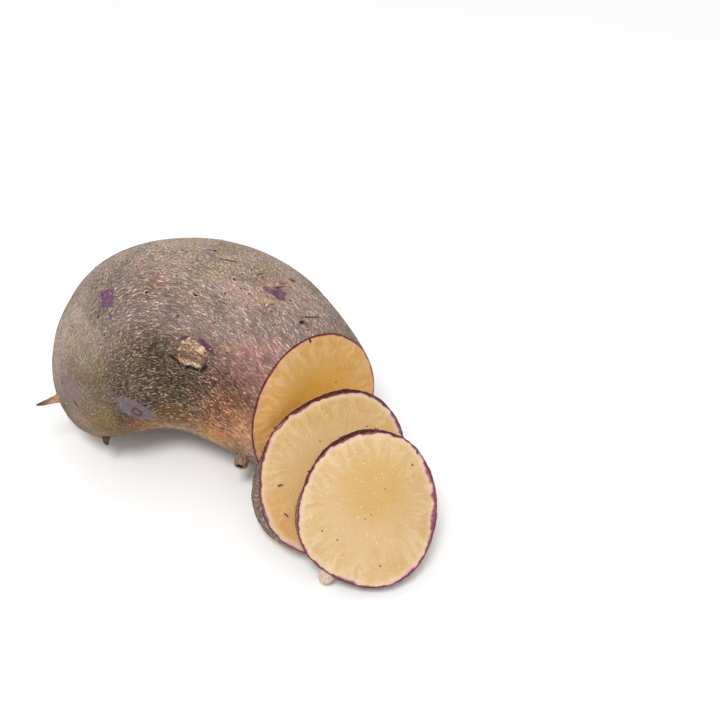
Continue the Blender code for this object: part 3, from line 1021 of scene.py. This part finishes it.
def scattered_on_cut(cut, reach, count, seed):
    """Random places on a slice's front face, less dense towards its rim."""
    draw = np.random.default_rng(seed)
    normal, right, up = facing(cut["turn"], cut["lean"])
    way = reach * np.sqrt(draw.random(count)) * draw.uniform(0.7, 1.0, count)
    spin = draw.uniform(0.0, FULL_TURN, count)
    away = (way * np.cos(spin))[:, None] * right + (way * np.sin(spin))[:, None] * up
    middle = TO_CENTRE + np.array(cut["centre"])
    return middle + away, np.broadcast_to(normal, away.shape)


def rim_shreds(cut, first_hour, last_hour, count, seed):
    """Places on the front rim of a slice between two hours, and the way the shreds point."""
    draw = np.random.default_rng(seed)
    normal, right, up = facing(cut["turn"], cut["lean"])
    angle = np.radians(30.0 * draw.uniform(first_hour, last_hour, count)) % FULL_TURN
    spoke = np.sin(angle)[:, None] * right + np.cos(angle)[:, None] * up
    depth = draw.uniform(0.0, 1.1, count)
    share = depth / cut["thickness"]
    radius = (1.0 - share) * hour_radius(cut["front"], angle)
    radius = radius + share * hour_radius(cut["back"], angle)
    middle = TO_CENTRE + np.array(cut["centre"])
    points = middle + radius[:, None] * spoke - depth[:, None] * normal
    # Shreds lie along the rim more than they stand up from it.
    rimwise = np.cos(angle)[:, None] * right - np.sin(angle)[:, None] * up
    lie = draw.choice((-1.0, 1.0), count)[:, None] * rimwise
    return points, unit(0.8 * spoke + 0.6 * lie + 0.35 * normal)


def joined(*groups):
    """Several groups of points and directions as one."""
    return tuple(np.vstack(side) for side in zip(*groups))


# Materials


class Paint:
    """Short calls for building a node tree."""

    def __init__(self, tree):
        self.tree = tree

    def node(self, kind, **settings):
        made = self.tree.nodes.new(kind)
        for key, value in settings.items():
            setattr(made, key, value)
        return made

    def feed(self, socket, value):
        if isinstance(value, bpy.types.NodeSocket):
            self.tree.links.new(value, socket)
        else:
            socket.default_value = value

    def filled(self, kind, values, **settings):
        """A node whose first inputs have these values."""
        made = self.node(kind, **settings)
        for socket, value in zip(made.inputs, values):
            self.feed(socket, value)
        return made

    def attribute(self, name):
        return self.node("ShaderNodeAttribute", attribute_name=name).outputs["Vector"]

    def maths(self, operation, *values):
        return self.filled("ShaderNodeMath", values, operation=operation).outputs[0]

    def times(self, *values):
        return self.maths("MULTIPLY", *values)

    def vector(self, operation, *values):
        made = self.filled("ShaderNodeVectorMath", values, operation=operation)
        return made.outputs["Value" if operation in ("LENGTH", "DOT_PRODUCT") else "Vector"]

    def scaled(self, place, factors):
        return self.vector("MULTIPLY", place, factors)

    def joined(self, *parts):
        return self.filled("ShaderNodeCombineXYZ", parts).outputs[0]

    def split(self, place):
        return self.filled("ShaderNodeSeparateXYZ", (place,)).outputs

    def noise(self, place, scale, detail=2.0, roughness=0.5, output="Fac"):
        made = self.node("ShaderNodeTexNoise")
        self.feed(made.inputs["Vector"], place)
        made.inputs["Scale"].default_value = scale
        made.inputs["Detail"].default_value = detail
        made.inputs["Roughness"].default_value = roughness
        return made.outputs[output]

    def noise_round_zero(self, *settings):
        return self.maths("SUBTRACT", self.noise(*settings), 0.5)

    def noise_vector(self, place, scale):
        return self.vector("SUBTRACT", self.noise(place, scale, output="Color"), (0.5, 0.5, 0.5))

    def between(self, value, low, high, start=0.0, end=1.0):
        """Eases from start to end as the value goes from low to high."""
        made = self.node("ShaderNodeMapRange", interpolation_type="SMOOTHSTEP")
        names = ("Value", "From Min", "From Max", "To Min", "To Max")
        for name, given in zip(names, (value, low, high, start, end)):
            self.feed(made.inputs[name], given)
        return made.outputs["Result"]

    def mix(self, amount, below, above, blend="MIX"):
        made = self.node("ShaderNodeMix", data_type="RGBA", blend_type=blend)
        self.feed(made.inputs["Factor"], amount)
        sockets = [s for s in made.inputs if s.type == "RGBA"]
        for socket, value in zip(sockets, (below, above)):
            self.feed(socket, value if isinstance(value, bpy.types.NodeSocket) else (*value, 1.0))
        return [s for s in made.outputs if s.type == "RGBA"][0]

    def blotch(self, colour, tone, value, low, high, amount, blend="MULTIPLY"):
        """Brings a tone into a colour as the value goes from low to high."""
        return self.mix(self.between(value, low, high, 0.0, amount), colour, tone, blend)

    def plain_mix(self, amount, below, above):
        made = self.node("ShaderNodeMix", data_type="FLOAT")
        sockets = [s for s in made.inputs if s.type == "VALUE"]
        for socket, value in zip(sockets, (amount, below, above)):
            self.feed(socket, value)
        return [s for s in made.outputs if s.type == "VALUE"][0]

    def use(self, group, **values):
        made = self.node("ShaderNodeGroup")
        made.node_tree = group
        for name, value in values.items():
            self.feed(made.inputs[name.replace("_", " ")], value)
        return made.outputs

    def finish(self, colour, roughness, specular, height=None, distance=0.0, strength=1.0):
        """Feeds the material's own shader, and a bump of that height, and returns its inputs."""
        inputs = self.tree.nodes["Principled BSDF"].inputs
        self.feed(inputs["Base Color"], colour)
        self.feed(inputs["Roughness"], roughness)
        inputs["Specular IOR Level"].default_value = specular
        if height is not None:
            bump = self.node("ShaderNodeBump")
            bump.inputs["Strength"].default_value = strength
            bump.inputs["Distance"].default_value = distance * MM
            self.feed(bump.inputs["Height"], height)
            self.feed(inputs["Normal"], bump.outputs["Normal"])
        return inputs


def node_group(name, inputs, outputs, kind="ShaderNodeTree"):
    """An empty node group with these sockets, its paint, and the sockets of its two ends."""
    tree = bpy.data.node_groups.new(name, kind)
    for way, sockets in (("INPUT", inputs), ("OUTPUT", outputs)):
        for socket, value in sockets.items():
            tree.interface.new_socket(
                name=socket, in_out=way, socket_type="NodeSocket" + value
            )
    paint = Paint(tree)
    return paint, paint.node("NodeGroupInput").outputs, paint.node("NodeGroupOutput").inputs


def spot_group():
    """A mask for one mark: 1 inside its outline, which noise makes ragged."""
    axes = ("Lengthwise", "Widthwise", "Deep")
    paint, given, out = node_group(
        "mark_on_surface",
        {
            **dict.fromkeys(("Place", "Middle", *axes), "Vector"),
            **dict.fromkeys(("Rough", "Squareness", "Ragged", "Soft"), "Float"),
        },
        {"Mask": "Float"},
    )
    away = paint.vector("SUBTRACT", given["Place"], given["Middle"])
    inside = paint.joined(*(paint.vector("DOT_PRODUCT", away, given[axis]) for axis in axes))
    round_way = paint.vector("LENGTH", inside)
    sizes = paint.split(paint.vector("ABSOLUTE", inside))
    square_way = paint.maths("MAXIMUM", paint.maths("MAXIMUM", sizes[0], sizes[1]), sizes[2])
    way = paint.times(square_way, given["Squareness"])
    rest = paint.maths("SUBTRACT", 1.0, given["Squareness"])
    way = paint.maths("MULTIPLY_ADD", round_way, rest, way)
    way = paint.maths("MULTIPLY_ADD", given["Rough"], given["Ragged"], way)
    low = paint.maths("SUBTRACT", 1.0, given["Soft"])
    high = paint.maths("ADD", 1.0, given["Soft"])
    paint.feed(out["Mask"], paint.between(way, low, high, 1.0, 0.0))
    return paint.tree


def wrinkle_group():
    """Fine lengthwise wrinkles: wavy ridges with valleys between them.

    The skin paints shade into the valleys and a highlight onto the crests.
    """
    paint, given, out = node_group(
        "skin_wrinkles",
        {"Lengthwise": "Vector", "Smooth": "Float", "Deep": "Float"},
        {"Ridge": "Float", "Highlit Crest": "Float", "Grain": "Float"},
    )

    def stretched(start, along, across, *settings):
        return paint.noise(paint.scaled(start, (along, across, across)), *settings)

    wavy = paint.scaled(paint.noise_vector(given["Lengthwise"], 0.28), (0.0, 1.9, 1.9))
    place = paint.vector("ADD", given["Lengthwise"], wavy)
    sets = []
    for wide, narrow in (((0.34, 2.1), (0.75, 4.0)), ((0.44, 2.2), (1.0, 4.2))):
        coarse = stretched(place, *wide, 1.0, 1.0)
        fine = stretched(place, *narrow, 1.0, 1.0)
        sets.append(paint.maths("MULTIPLY_ADD", fine, 0.46, paint.times(coarse, 0.54)))
    both = paint.plain_mix(given["Deep"], *sets)
    # Thin grooves that drop to the valleys' painted shade.
    halfway = stretched(place, 0.24, 1.35, 1.0, 1.0)
    halfway = paint.maths("ABSOLUTE", paint.maths("SUBTRACT", halfway, 0.5))
    groove = paint.between(halfway, 0.0, 0.04, -0.17, 0.0)
    groove = paint.times(groove, paint.between(given["Deep"], 0.0, 1.0, 0.35, 1.0))
    both = paint.maths("ADD", both, groove)
    speckle = stretched(given["Lengthwise"], 0.8, 1.0, 1.7, 3.0, 0.7)
    speckle = paint.maths("MULTIPLY_ADD", speckle, 0.68, 0.208)
    both = paint.plain_mix(paint.times(given["Smooth"], 0.8), both, speckle)
    paint.feed(out["Ridge"], paint.between(both, 0.38, 0.61))
    paint.feed(out["Highlit Crest"], paint.between(both, 0.535, 0.60))
    paint.feed(out["Grain"], stretched(place, 0.7, 1.0, 3.6, 2.0, 0.6))
    return paint.tree


def ray_group():
    """Soft streaks of flesh that run from the middle of a cut face to its rim."""
    paint, given, out = node_group(
        "flesh_rays", {"On Cut": "Vector"}, {"Ray": "Float", "Fibre": "Float", "Cloud": "Float"}
    )
    flat = paint.scaled(given["On Cut"], (1.0, 1.0, 0.0))
    way = paint.vector("LENGTH", flat)
    shift = paint.scaled(paint.noise_vector(flat, 0.12), (0.25, 0.25, 0.0))
    spoke = paint.vector("ADD", paint.vector("NORMALIZE", flat), shift)

    def streaks(outwards, *settings):
        drawn = paint.joined(0.0, 0.0, paint.times(way, outwards))
        return paint.noise(paint.vector("ADD", spoke, drawn), *settings)

    paint.feed(out["Ray"], streaks(0.014, 9.0, 2.0, 0.55))
    paint.feed(out["Fibre"], streaks(0.045, 26.0, 3.0, 0.7))
    paint.feed(out["Cloud"], paint.noise(flat, 0.13, 2.5))
    return paint.tree


def new_material(name):
    """The paint of a new material, and the place on the object in millimetres."""
    made = bpy.data.materials.new(name)
    made.use_nodes = True
    paint = Paint(made.node_tree)
    place = paint.node("ShaderNodeTexCoord").outputs["Object"]
    return made, paint, paint.scaled(place, (1.0 / MM, 1.0 / MM, 1.0 / MM))


def spot_mask(paint, group, place, rough, frame, edge):
    """A mask for one spot: its middle and measuring rows, then how square, ragged and soft."""
    middle, rows = frame
    sockets = ("Lengthwise", "Widthwise", "Deep", "Squareness", "Ragged", "Soft")
    values = dict(zip(sockets, (*(tuple(row) for row in rows), *edge)))
    return paint.use(group, Place=place, Rough=rough, Middle=tuple(middle), **values)["Mask"]


def speck_frame(x, y, length, width, turn):
    """Middle of a spot on a cut face, and the rows that measure a place in its half sizes."""
    t = math.radians(turn)
    along = np.array((math.cos(t), math.sin(t), 0.0)) * 2.0 / length
    across = np.array((-math.sin(t), math.cos(t), 0.0)) * 2.0 / width
    return (x, y, 0.0), (along, across, (0.0, 0.0, 0.0))


def skin_material(name, groups, base, bared_rind, tints=(), marks=()):
    """Dull wrinkled skin: pale ridges, valleys in painted shade, crests with a painted highlight,
    mottling, dust and soil, then its marks.

    base holds the colours of the crests (painted highlight), the ridges, the valleys and the deep
    valleys (painted shade).
    """
    made, paint, place = new_material(name)
    fold, deep, smooth = paint.split(paint.attribute("relief"))
    on_cut = paint.attribute("on_cut")
    wrinkles = paint.use(
        groups["wrinkles"], Lengthwise=paint.attribute("lengthwise"), Smooth=smooth, Deep=deep
    )
    ragged = paint.noise_round_zero(place, 0.55, 4.0, 0.6)
    broad = paint.noise_round_zero(place, 0.055, 3.0)

    deeper = paint.between(paint.maths("MULTIPLY_ADD", broad, 1.6, deep), 0.1, 0.9)
    # Painted highlight on the crests; painted shade in the valleys and on ridges sunk among deep
    # wrinkles.
    crest_highlight_colour, ridge_colour, valley_shade_colour, deep_valley_shade_colour = base
    sunk_ridge_shade_colour = tuple(SUNK_RIDGE_SHADE * part for part in ridge_colour)
    # The mesh's real folds push the colour to the valleys' painted shade in their dips.
    ridge = paint.maths("MULTIPLY_ADD", fold, paint.times(deeper, 0.10), wrinkles["Ridge"])
    low = paint.maths("MULTIPLY_ADD", deeper, 0.06, 0.12)
    above = paint.between(ridge, low, paint.maths("ADD", low, 0.5))
    valley = paint.mix(deeper, valley_shade_colour, deep_valley_shade_colour)
    colour = paint.mix(above, valley, paint.mix(deeper, ridge_colour, sunk_ridge_shade_colour))
    crest_highlight = paint.times(wrinkles["Highlit Crest"], paint.between(deeper, 0.0, 1.0, 0.8, 0.85))
    colour = paint.mix(crest_highlight, colour, crest_highlight_colour)

    mottle = paint.noise(place, 0.085, 5.0, 0.65)
    colour = paint.blotch(colour, GREEN_GREY, mottle, 0.45, 0.62, 0.9)
    for shift, tone in ((31.0, WARM_BROWN), (67.0, PINK_TAUPE), (97.0, SLATE)):
        cloud = paint.noise(paint.vector("ADD", place, (shift, 7.0, 4.0)), 0.17, 4.0, 0.6)
        colour = paint.blotch(colour, tone, cloud, 0.50, 0.66, 0.75)
    # All tints, the stains and the painted light and shade alike, lie deeper in the valleys than
    # on the ridges.
    tinted_deeper_in_valleys = paint.between(ridge, 0.1, 0.9, 1.4, 0.65)
    for mark, tint in tints:
        frame = mark_frame(*mark)
        mask = spot_mask(paint, groups["spot"], place, broad, frame, SKIN_TINT_EDGE)
        colour = paint.mix(paint.times(mask, tinted_deeper_in_valleys), colour, tint, "MULTIPLY")
    dust = paint.noise(place, 1.3, 3.0, 0.7)
    colour = paint.blotch(colour, DUST, dust, 0.58, 0.70, 0.5, "MIX")
    dirt = paint.noise(place, 0.9, 4.0, 0.75)
    colour = paint.blotch(colour, SOIL_BROWN, dirt, 0.62, 0.71, 0.7, "MIX")

    # Marks are fainter on the ridges; the shaded cracks and the flake's shadow among them are
    # painted shade.
    fainter_on_ridges = paint.between(ridge, 0.35, 0.9, 1.0, 0.8)
    for mark in marks:
        mark_colour, strength = mark[9:11]
        frame = mark_frame(*mark[:6])
        mask = spot_mask(paint, groups["spot"], place, ragged, frame, mark[6:9])
        mask = paint.times(paint.times(mask, strength), fainter_on_ridges)
        colour = paint.mix(mask, colour, mark_colour)

    # The knife bares more of the dark rind along the top of a slice.
    spoke = paint.split(paint.vector("NORMALIZE", paint.scaled(on_cut, (1.0, 1.0, 0.0))))
    bared = paint.between(spoke[1], 0.2, 0.75, *bared_rind)
    torn = paint.maths("MULTIPLY_ADD", ragged, paint.times(bared, 1.6), paint.split(on_cut)[2])
    edge = paint.maths("DIVIDE", torn, bared)
    rind = paint.blotch(RIND_BLACK, RIND_PURPLE, wrinkles["Ridge"], 0.3, 0.9, 0.3, "MIX")
    rind = paint.blotch(rind, valley_shade_colour, ragged, 0.08, 0.18, 0.5, "MIX")
    colour = paint.mix(paint.between(edge, 0.7, 1.2, 1.0, 0.0), colour, rind)

    height = paint.times(wrinkles["Ridge"], paint.maths("MULTIPLY_ADD", deeper, 0.5, 0.5))
    height = paint.maths("MULTIPLY_ADD", ragged, 0.3, height)
    roughness = paint.between(wrinkles["Grain"], 0.3, 0.7, 0.60, 0.85)
    paint.finish(colour, roughness, 0.3, height, 1.2)
    return made


def flesh_material(
    name, groups, heart, outer, heart_place, heart_size, rim, rind, black_rim, pale_rim,
    rays_show, tints, specks,
):
    """Moist cut flesh: heart colour inside, outer colour towards the rim, and the rind's line."""
    made, paint, place = new_material(name)
    on_cut = paint.attribute("on_cut")
    flat = paint.scaled(on_cut, (1.0, 1.0, 0.0))
    from_rim = paint.split(on_cut)[2]
    rays = paint.use(groups["rays"], On_Cut=on_cut)
    ragged = paint.noise_round_zero(place, 0.9, 4.0, 0.65)

    way = paint.vector("LENGTH", paint.vector("SUBTRACT", flat, (*heart_place, 0.0)))
    way = paint.maths("MULTIPLY_ADD", paint.maths("SUBTRACT", rays["Cloud"], 0.5), 16.0, way)
    inside = paint.between(way, 0.3 * heart_size, 1.2 * heart_size, 1.0, 0.0)
    colour = paint.mix(inside, outer, heart)
    for *spot, tint in tints:
        frame = speck_frame(*spot)
        mask = spot_mask(paint, groups["spot"], flat, ragged, frame, FLESH_TINT_EDGE)
        colour = paint.mix(mask, colour, tint, "MULTIPLY")

    near_rim = paint.between(from_rim, 3.0, 15.0)
    streak = paint.between(near_rim, 0.0, 1.0, rays_show, 0.0)
    streak = paint.times(paint.between(rays["Ray"], 0.48, 0.60), streak)
    colour = paint.mix(streak, colour, PALE_RAY, "MULTIPLY")
    gap = paint.between(near_rim, 0.0, 1.0, 0.6 * rays_show, 0.1)
    gap = paint.times(paint.between(rays["Ray"], 0.40, 0.50, 1.0, 0.0), gap)
    colour = paint.mix(gap, colour, RAY_GAP, "MULTIPLY")
    fibre = paint.between(from_rim, 5.0, 16.0, 0.6, 0.0)
    fibre = paint.times(paint.between(rays["Cloud"], 0.40, 0.60), fibre)
    fibre = paint.times(paint.between(rays["Fibre"], 0.52, 0.68), fibre)
    colour = paint.mix(fibre, colour, DEEP_RAY, "MULTIPLY")
    colour = paint.blotch(colour, CLOUDY_FLESH, rays["Cloud"], 0.44, 0.66, 0.6)
    starch = paint.noise(place, 1.4, 2.0, 0.6)
    colour = paint.blotch(colour, STARCH, starch, 0.62, 0.74, 0.35, "MIX")

    spoke = paint.split(paint.vector("NORMALIZE", flat))
    sides, top, bottom, right = rim
    uneven = paint.between(paint.noise(place, 0.22), 0.36, 0.64, 0.65, 1.5)
    line = paint.between(spoke[1], 0.35, 0.85, sides, top)
    line = paint.maths("ADD", line, paint.between(spoke[1], -0.95, -0.5, bottom - sides, 0.0))
    line = paint.maths("ADD", line, paint.between(spoke[0], 0.75, 0.95, 0.0, right - sides))
    line = paint.times(line, uneven)
    colour = paint.mix(paint.between(from_rim, 0.6, 3.4, pale_rim, 0.0), colour, PALE_RIM)
    low_side = paint.between(spoke[1], 0.55, 0.95, 1.0, 0.3)
    blotchy = paint.times(paint.between(paint.noise(place, 0.12), 0.40, 0.62), low_side)
    torn = paint.maths("MULTIPLY_ADD", ragged, 0.7, from_rim)
    for width, strength, tone in ((2.8, 0.4, RIND_LILAC), (1.2, 0.6, RIND_BLUSH)):
        stain = paint.between(torn, line, paint.maths("ADD", line, width), strength, 0.0)
        colour = paint.mix(paint.times(stain, blotchy), colour, tone)
    edge = paint.maths("DIVIDE", paint.maths("MULTIPLY_ADD", ragged, line, from_rim), line)
    colour = paint.mix(paint.between(edge, 0.7, 1.5, 1.0, 0.0), colour, rind)
    colour = paint.mix(paint.between(edge, 0.3, 0.9, black_rim, 0.0), colour, RIND_BLACK)
    for *spot, speck_colour in specks:
        mask = spot_mask(paint, groups["spot"], flat, ragged, speck_frame(*spot), SPECK_EDGE)
        colour = paint.mix(mask, colour, speck_colour)

    grain = paint.noise(place, 2.4, 3.0, 0.65)
    height = paint.maths("MULTIPLY_ADD", rays["Fibre"], 0.6, grain)
    roughness = paint.between(grain, 0.35, 0.7, 0.28, 0.50)
    shader = paint.finish(colour, roughness, 0.4, height, 0.16, 0.6)
    shader["Subsurface Weight"].default_value = 0.25
    shader["Subsurface Radius"].default_value = (1.0, 0.6, 0.25)
    shader["Subsurface Scale"].default_value = 2.0 * MM
    return made


def cork_material(name, light, dark):
    """Dry broken cork: pale flakes with fine dark cracks, darker on the lower layers."""
    made, paint, place = new_material(name)
    relief = paint.split(paint.attribute("relief"))[0]
    fibres = paint.scaled(paint.attribute("lengthwise"), (0.4, 1.0, 1.0))
    swirl = paint.scaled(paint.noise_vector(place, 0.3), (1.2, 1.2, 1.2))
    swirl = paint.vector("ADD", fibres, swirl)
    grain = paint.noise(swirl, 1.3, 5.0, 0.72)
    thin = paint.maths("ABSOLUTE", paint.noise_round_zero(swirl, 0.9, 3.0))
    crack = paint.between(thin, 0.0, 0.03)
    value = paint.between(crack, 0.0, 1.0, 0.3, 1.0)
    value = paint.times(paint.between(grain, 0.36, 0.60), value)
    value = paint.times(value, paint.between(relief, -0.35, 0.0, 0.25, 1.0))
    colour = paint.mix(value, dark, light)
    for shift, tone in ((0.0, GREY_CORK), (23.0, WARM_CORK)):
        cloud = paint.noise(paint.vector("ADD", place, (shift, 0.0, 0.0)), 0.3)
        colour = paint.blotch(colour, tone, cloud, 0.48, 0.62, 0.8)
    paint.finish(colour, 0.85, 0.25, paint.maths("MULTIPLY_ADD", crack, 0.5, grain), 0.6)
    return made


def lenticel_material(name, light, dark, shade=WARM_SHADE):
    """A corky rim round a hollow in painted shade; the shape's own attribute says how deep the
    hollow is.
    """
    made, paint, place = new_material(name)
    grain = paint.noise(place, 0.8, 4.0, 0.7)
    colour = paint.mix(paint.between(grain, 0.40, 0.56), shade, light)
    hollow = paint.split(paint.attribute("hollow"))[0]
    # Painted shade: the hollow is painted dark.
    colour = paint.mix(paint.between(hollow, 0.1, 0.45), colour, dark)
    paint.finish(colour, 0.85, 0.2, grain, 0.3, 0.8)
    return made


def rootlet_material(name, light, dark, tip_colour, tip_from, tip_to):
    """A dry rootlet with lengthwise fibres, darker towards a tip at tip_to along X, and painted
    shade inside a hollow end.
    """
    made, paint, place = new_material(name)
    grown = paint.scaled(paint.attribute("lengthwise"), (0.3, 1.0, 1.0))
    fibre = paint.noise(grown, 1.6, 3.0, 0.65)
    colour = paint.mix(paint.between(fibre, 0.35, 0.62), dark, light)
    near_tip = paint.between(paint.split(place)[0], tip_from, tip_to)
    colour = paint.mix(near_tip, colour, tip_colour)
    # Painted shade: the inside of a hollow end is painted black.
    hollow = paint.split(paint.attribute("hollow"))[0]
    colour = paint.mix(paint.between(hollow, 0.2, 0.8), colour, CRACK_AND_SHADE_BLACK)
    paint.finish(colour, 0.8, 0.3, fibre, 0.3, 0.8)
    return made


def juice_glint_material():
    # Near-white colour: a painted glint on a real glossy bead.
    made, paint, place = new_material("juice")
    clear = paint.noise(place, 3.0, 1.0)
    roughness = paint.between(clear, 0.3, 0.7, 0.05, 0.15)
    shader = paint.finish(paint.mix(clear, *JUICE_GLINT_TONES), roughness, 0.8)
    shader["Subsurface Weight"].default_value = 0.3
    shader["Subsurface Scale"].default_value = MM
    return made


def floor_material():
    made, paint, place = new_material("pale_floor")
    paint.finish(paint.mix(paint.noise(place, 0.004), *FLOOR_TONES), 0.6, 0.5)
    return made


# The setting


def add_camera():
    rise = math.radians(CAMERA_RISE)
    aim = Vector((TO_CENTRE[0], TO_CENTRE[1], CAMERA_AIM_HEIGHT)) * MM
    back = Vector((0.0, -math.cos(rise), math.sin(rise)))
    data = bpy.data.cameras.new("camera")
    data.lens = LENS
    data.sensor_width = SENSOR
    camera = bpy.data.objects.new("camera", data)
    camera.location = aim + back * CAMERA_DISTANCE * MM
    camera.rotation_euler = (-back).to_track_quat("-Z", "Y").to_euler()
    bpy.context.scene.collection.objects.link(camera)
    bpy.context.scene.camera = camera


def add_light(name, place, size, power):
    data = bpy.data.lights.new(name, "AREA")
    data.shape = "DISK"
    data.size = size
    data.energy = power
    light = add_object(name, data)
    light.location = Vector(place)
    light.rotation_euler = Vector(place).to_track_quat("Z", "Y").to_euler()


def add_stage():
    mesh = bmesh.new()
    bmesh.ops.create_grid(mesh, x_segments=2, y_segments=2, size=FLOOR_SIZE)
    data = bpy.data.meshes.new("floor")
    mesh.to_mesh(data)
    mesh.free()
    floor = add_object("floor", data)
    floor.location.z = -FLOOR_DROP
    data.materials.append(floor_material())
    world = bpy.data.worlds.new("soft_room")
    world.use_nodes = True
    room = world.node_tree.nodes["Background"].inputs
    room["Color"].default_value = (1.0, 1.0, 1.0, 1.0)
    room["Strength"].default_value = ROOM_STRENGTH
    bpy.context.scene.world = world
    bpy.context.scene.view_settings.view_transform = "Standard"
    add_light("overhead", LIGHT_PLACE, LIGHT_SIZE, LIGHT_POWER)


def finish_piece(piece, sharp=None):
    piece.data.shade_smooth()
    if sharp is not None:
        piece.data.set_sharp_from_angle(angle=math.radians(sharp))
    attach(piece, "root")


def add_small_things(surface):
    """Lenticels, crumbs, juice and shreds of rind, each kind as one plain mesh."""

    def named_and_more(rows, more, seed):
        """Rows that stand out and scattered ones: their places and their sizes."""
        count, radius, topness = more
        scattered = scattered_on_skin(surface, count, topness, seed)
        if not rows:
            return scattered, [radius] * count
        sizes = [size for _, _, size in rows] + [radius] * count
        return joined(skin_places(surface, rows), scattered), sizes

    lenticel = lenticel_material("lenticel_cork", LENTICEL_CORK, LENTICEL_HOLLOW_SHADE)
    crumb = lenticel_material("skin_crumb", CRUMB_TAN, SOIL_BROWN)
    soil = lenticel_material("soil_crumb", SOIL_DARK, CRACK_AND_SHADE_BLACK, CRACK_AND_SHADE_BLACK)
    shred = rootlet_material(*SHRED_FIBRES)
    beads = joined(*(scattered_on_cut(*spread) for spread in JUICE_SPREADS))
    shreds = joined(*(rim_shreds(*stretch) for stretch in RIM_SHREDS))
    # Each kind: its piece, slot, places and sizes, shape, material, size spread and tilt.
    kinds = (
        (
            ("lenticels", "skin", *named_and_more(LENTICELS, MORE_LENTICELS, 5)),
            (lenticel_shape, lenticel, 0.25, 0.1),
        ),
        (
            ("skin_crumbs", "skin", *named_and_more(FLAKES, MORE_FLAKES, 6)),
            (crumb_shape, crumb, 0.5, 0.25),
        ),
        (
            ("soil_crumbs", "skin", *named_and_more((), SOIL_CRUMBS, 7)),
            (crumb_shape, soil, 0.5, 0.25),
        ),
        (
            ("juice_beads", "flesh", beads, [JUICE_RADIUS] * len(beads[0])),
            (bead_shape, juice_glint_material(), 0.6, 0.0),
        ),
        (
            ("rind_shreds", "skin", shreds, [SHRED_SIZE] * len(shreds[0])),
            (shred_shape, shred, 0.5, 0.35),
        ),
    )
    tree = standing_tree()
    for seed, ((name, slot, places, sizes), (shape, made_of, spread, tilt)) in enumerate(kinds):
        made = stand_on(name, places, sizes, shape(), tree, made_of, spread, tilt, seed)
        finish_piece(made)


def main():
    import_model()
    add_camera()
    add_stage()

    groups = {"spot": spot_group(), "wrinkles": wrinkle_group(), "rays": ray_group()}
    skin = skin_material("root_skin", groups, SKIN_COLOURS, ROOT_RIND, TINTS, MARKS.values())
    peel = skin_material("slice_peel", groups, PEEL_COLOURS, PEEL_RIND)
    root_flesh = flesh_material("root_flesh", groups, **ROOT_FLESH)
    middle_flesh = flesh_material("middle_flesh", groups, **MIDDLE_FLESH)
    front_flesh = flesh_material("front_flesh", groups, **FRONT_FLESH)

    body, surface = root_piece(skin, root_flesh)
    middle = slice_piece("middle_slice", MIDDLE_SLICE, peel, middle_flesh)
    front = slice_piece("front_slice", FRONT_SLICE, peel, front_flesh)
    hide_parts("root")
    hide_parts("slice_middle")
    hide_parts("slice_front")
    finish_piece(body, SHARP_RIM)
    finish_piece(middle, SHARP_RIM)
    finish_piece(front, SHARP_RIM)
    finish_piece(scab_piece(cork_material("scar_cork", *SCAR_CORK)))
    for stem, fibres in STEMS:
        finish_piece(stem_piece(*stem, rootlet_material(*fibres)))
    add_small_things(surface)


main()
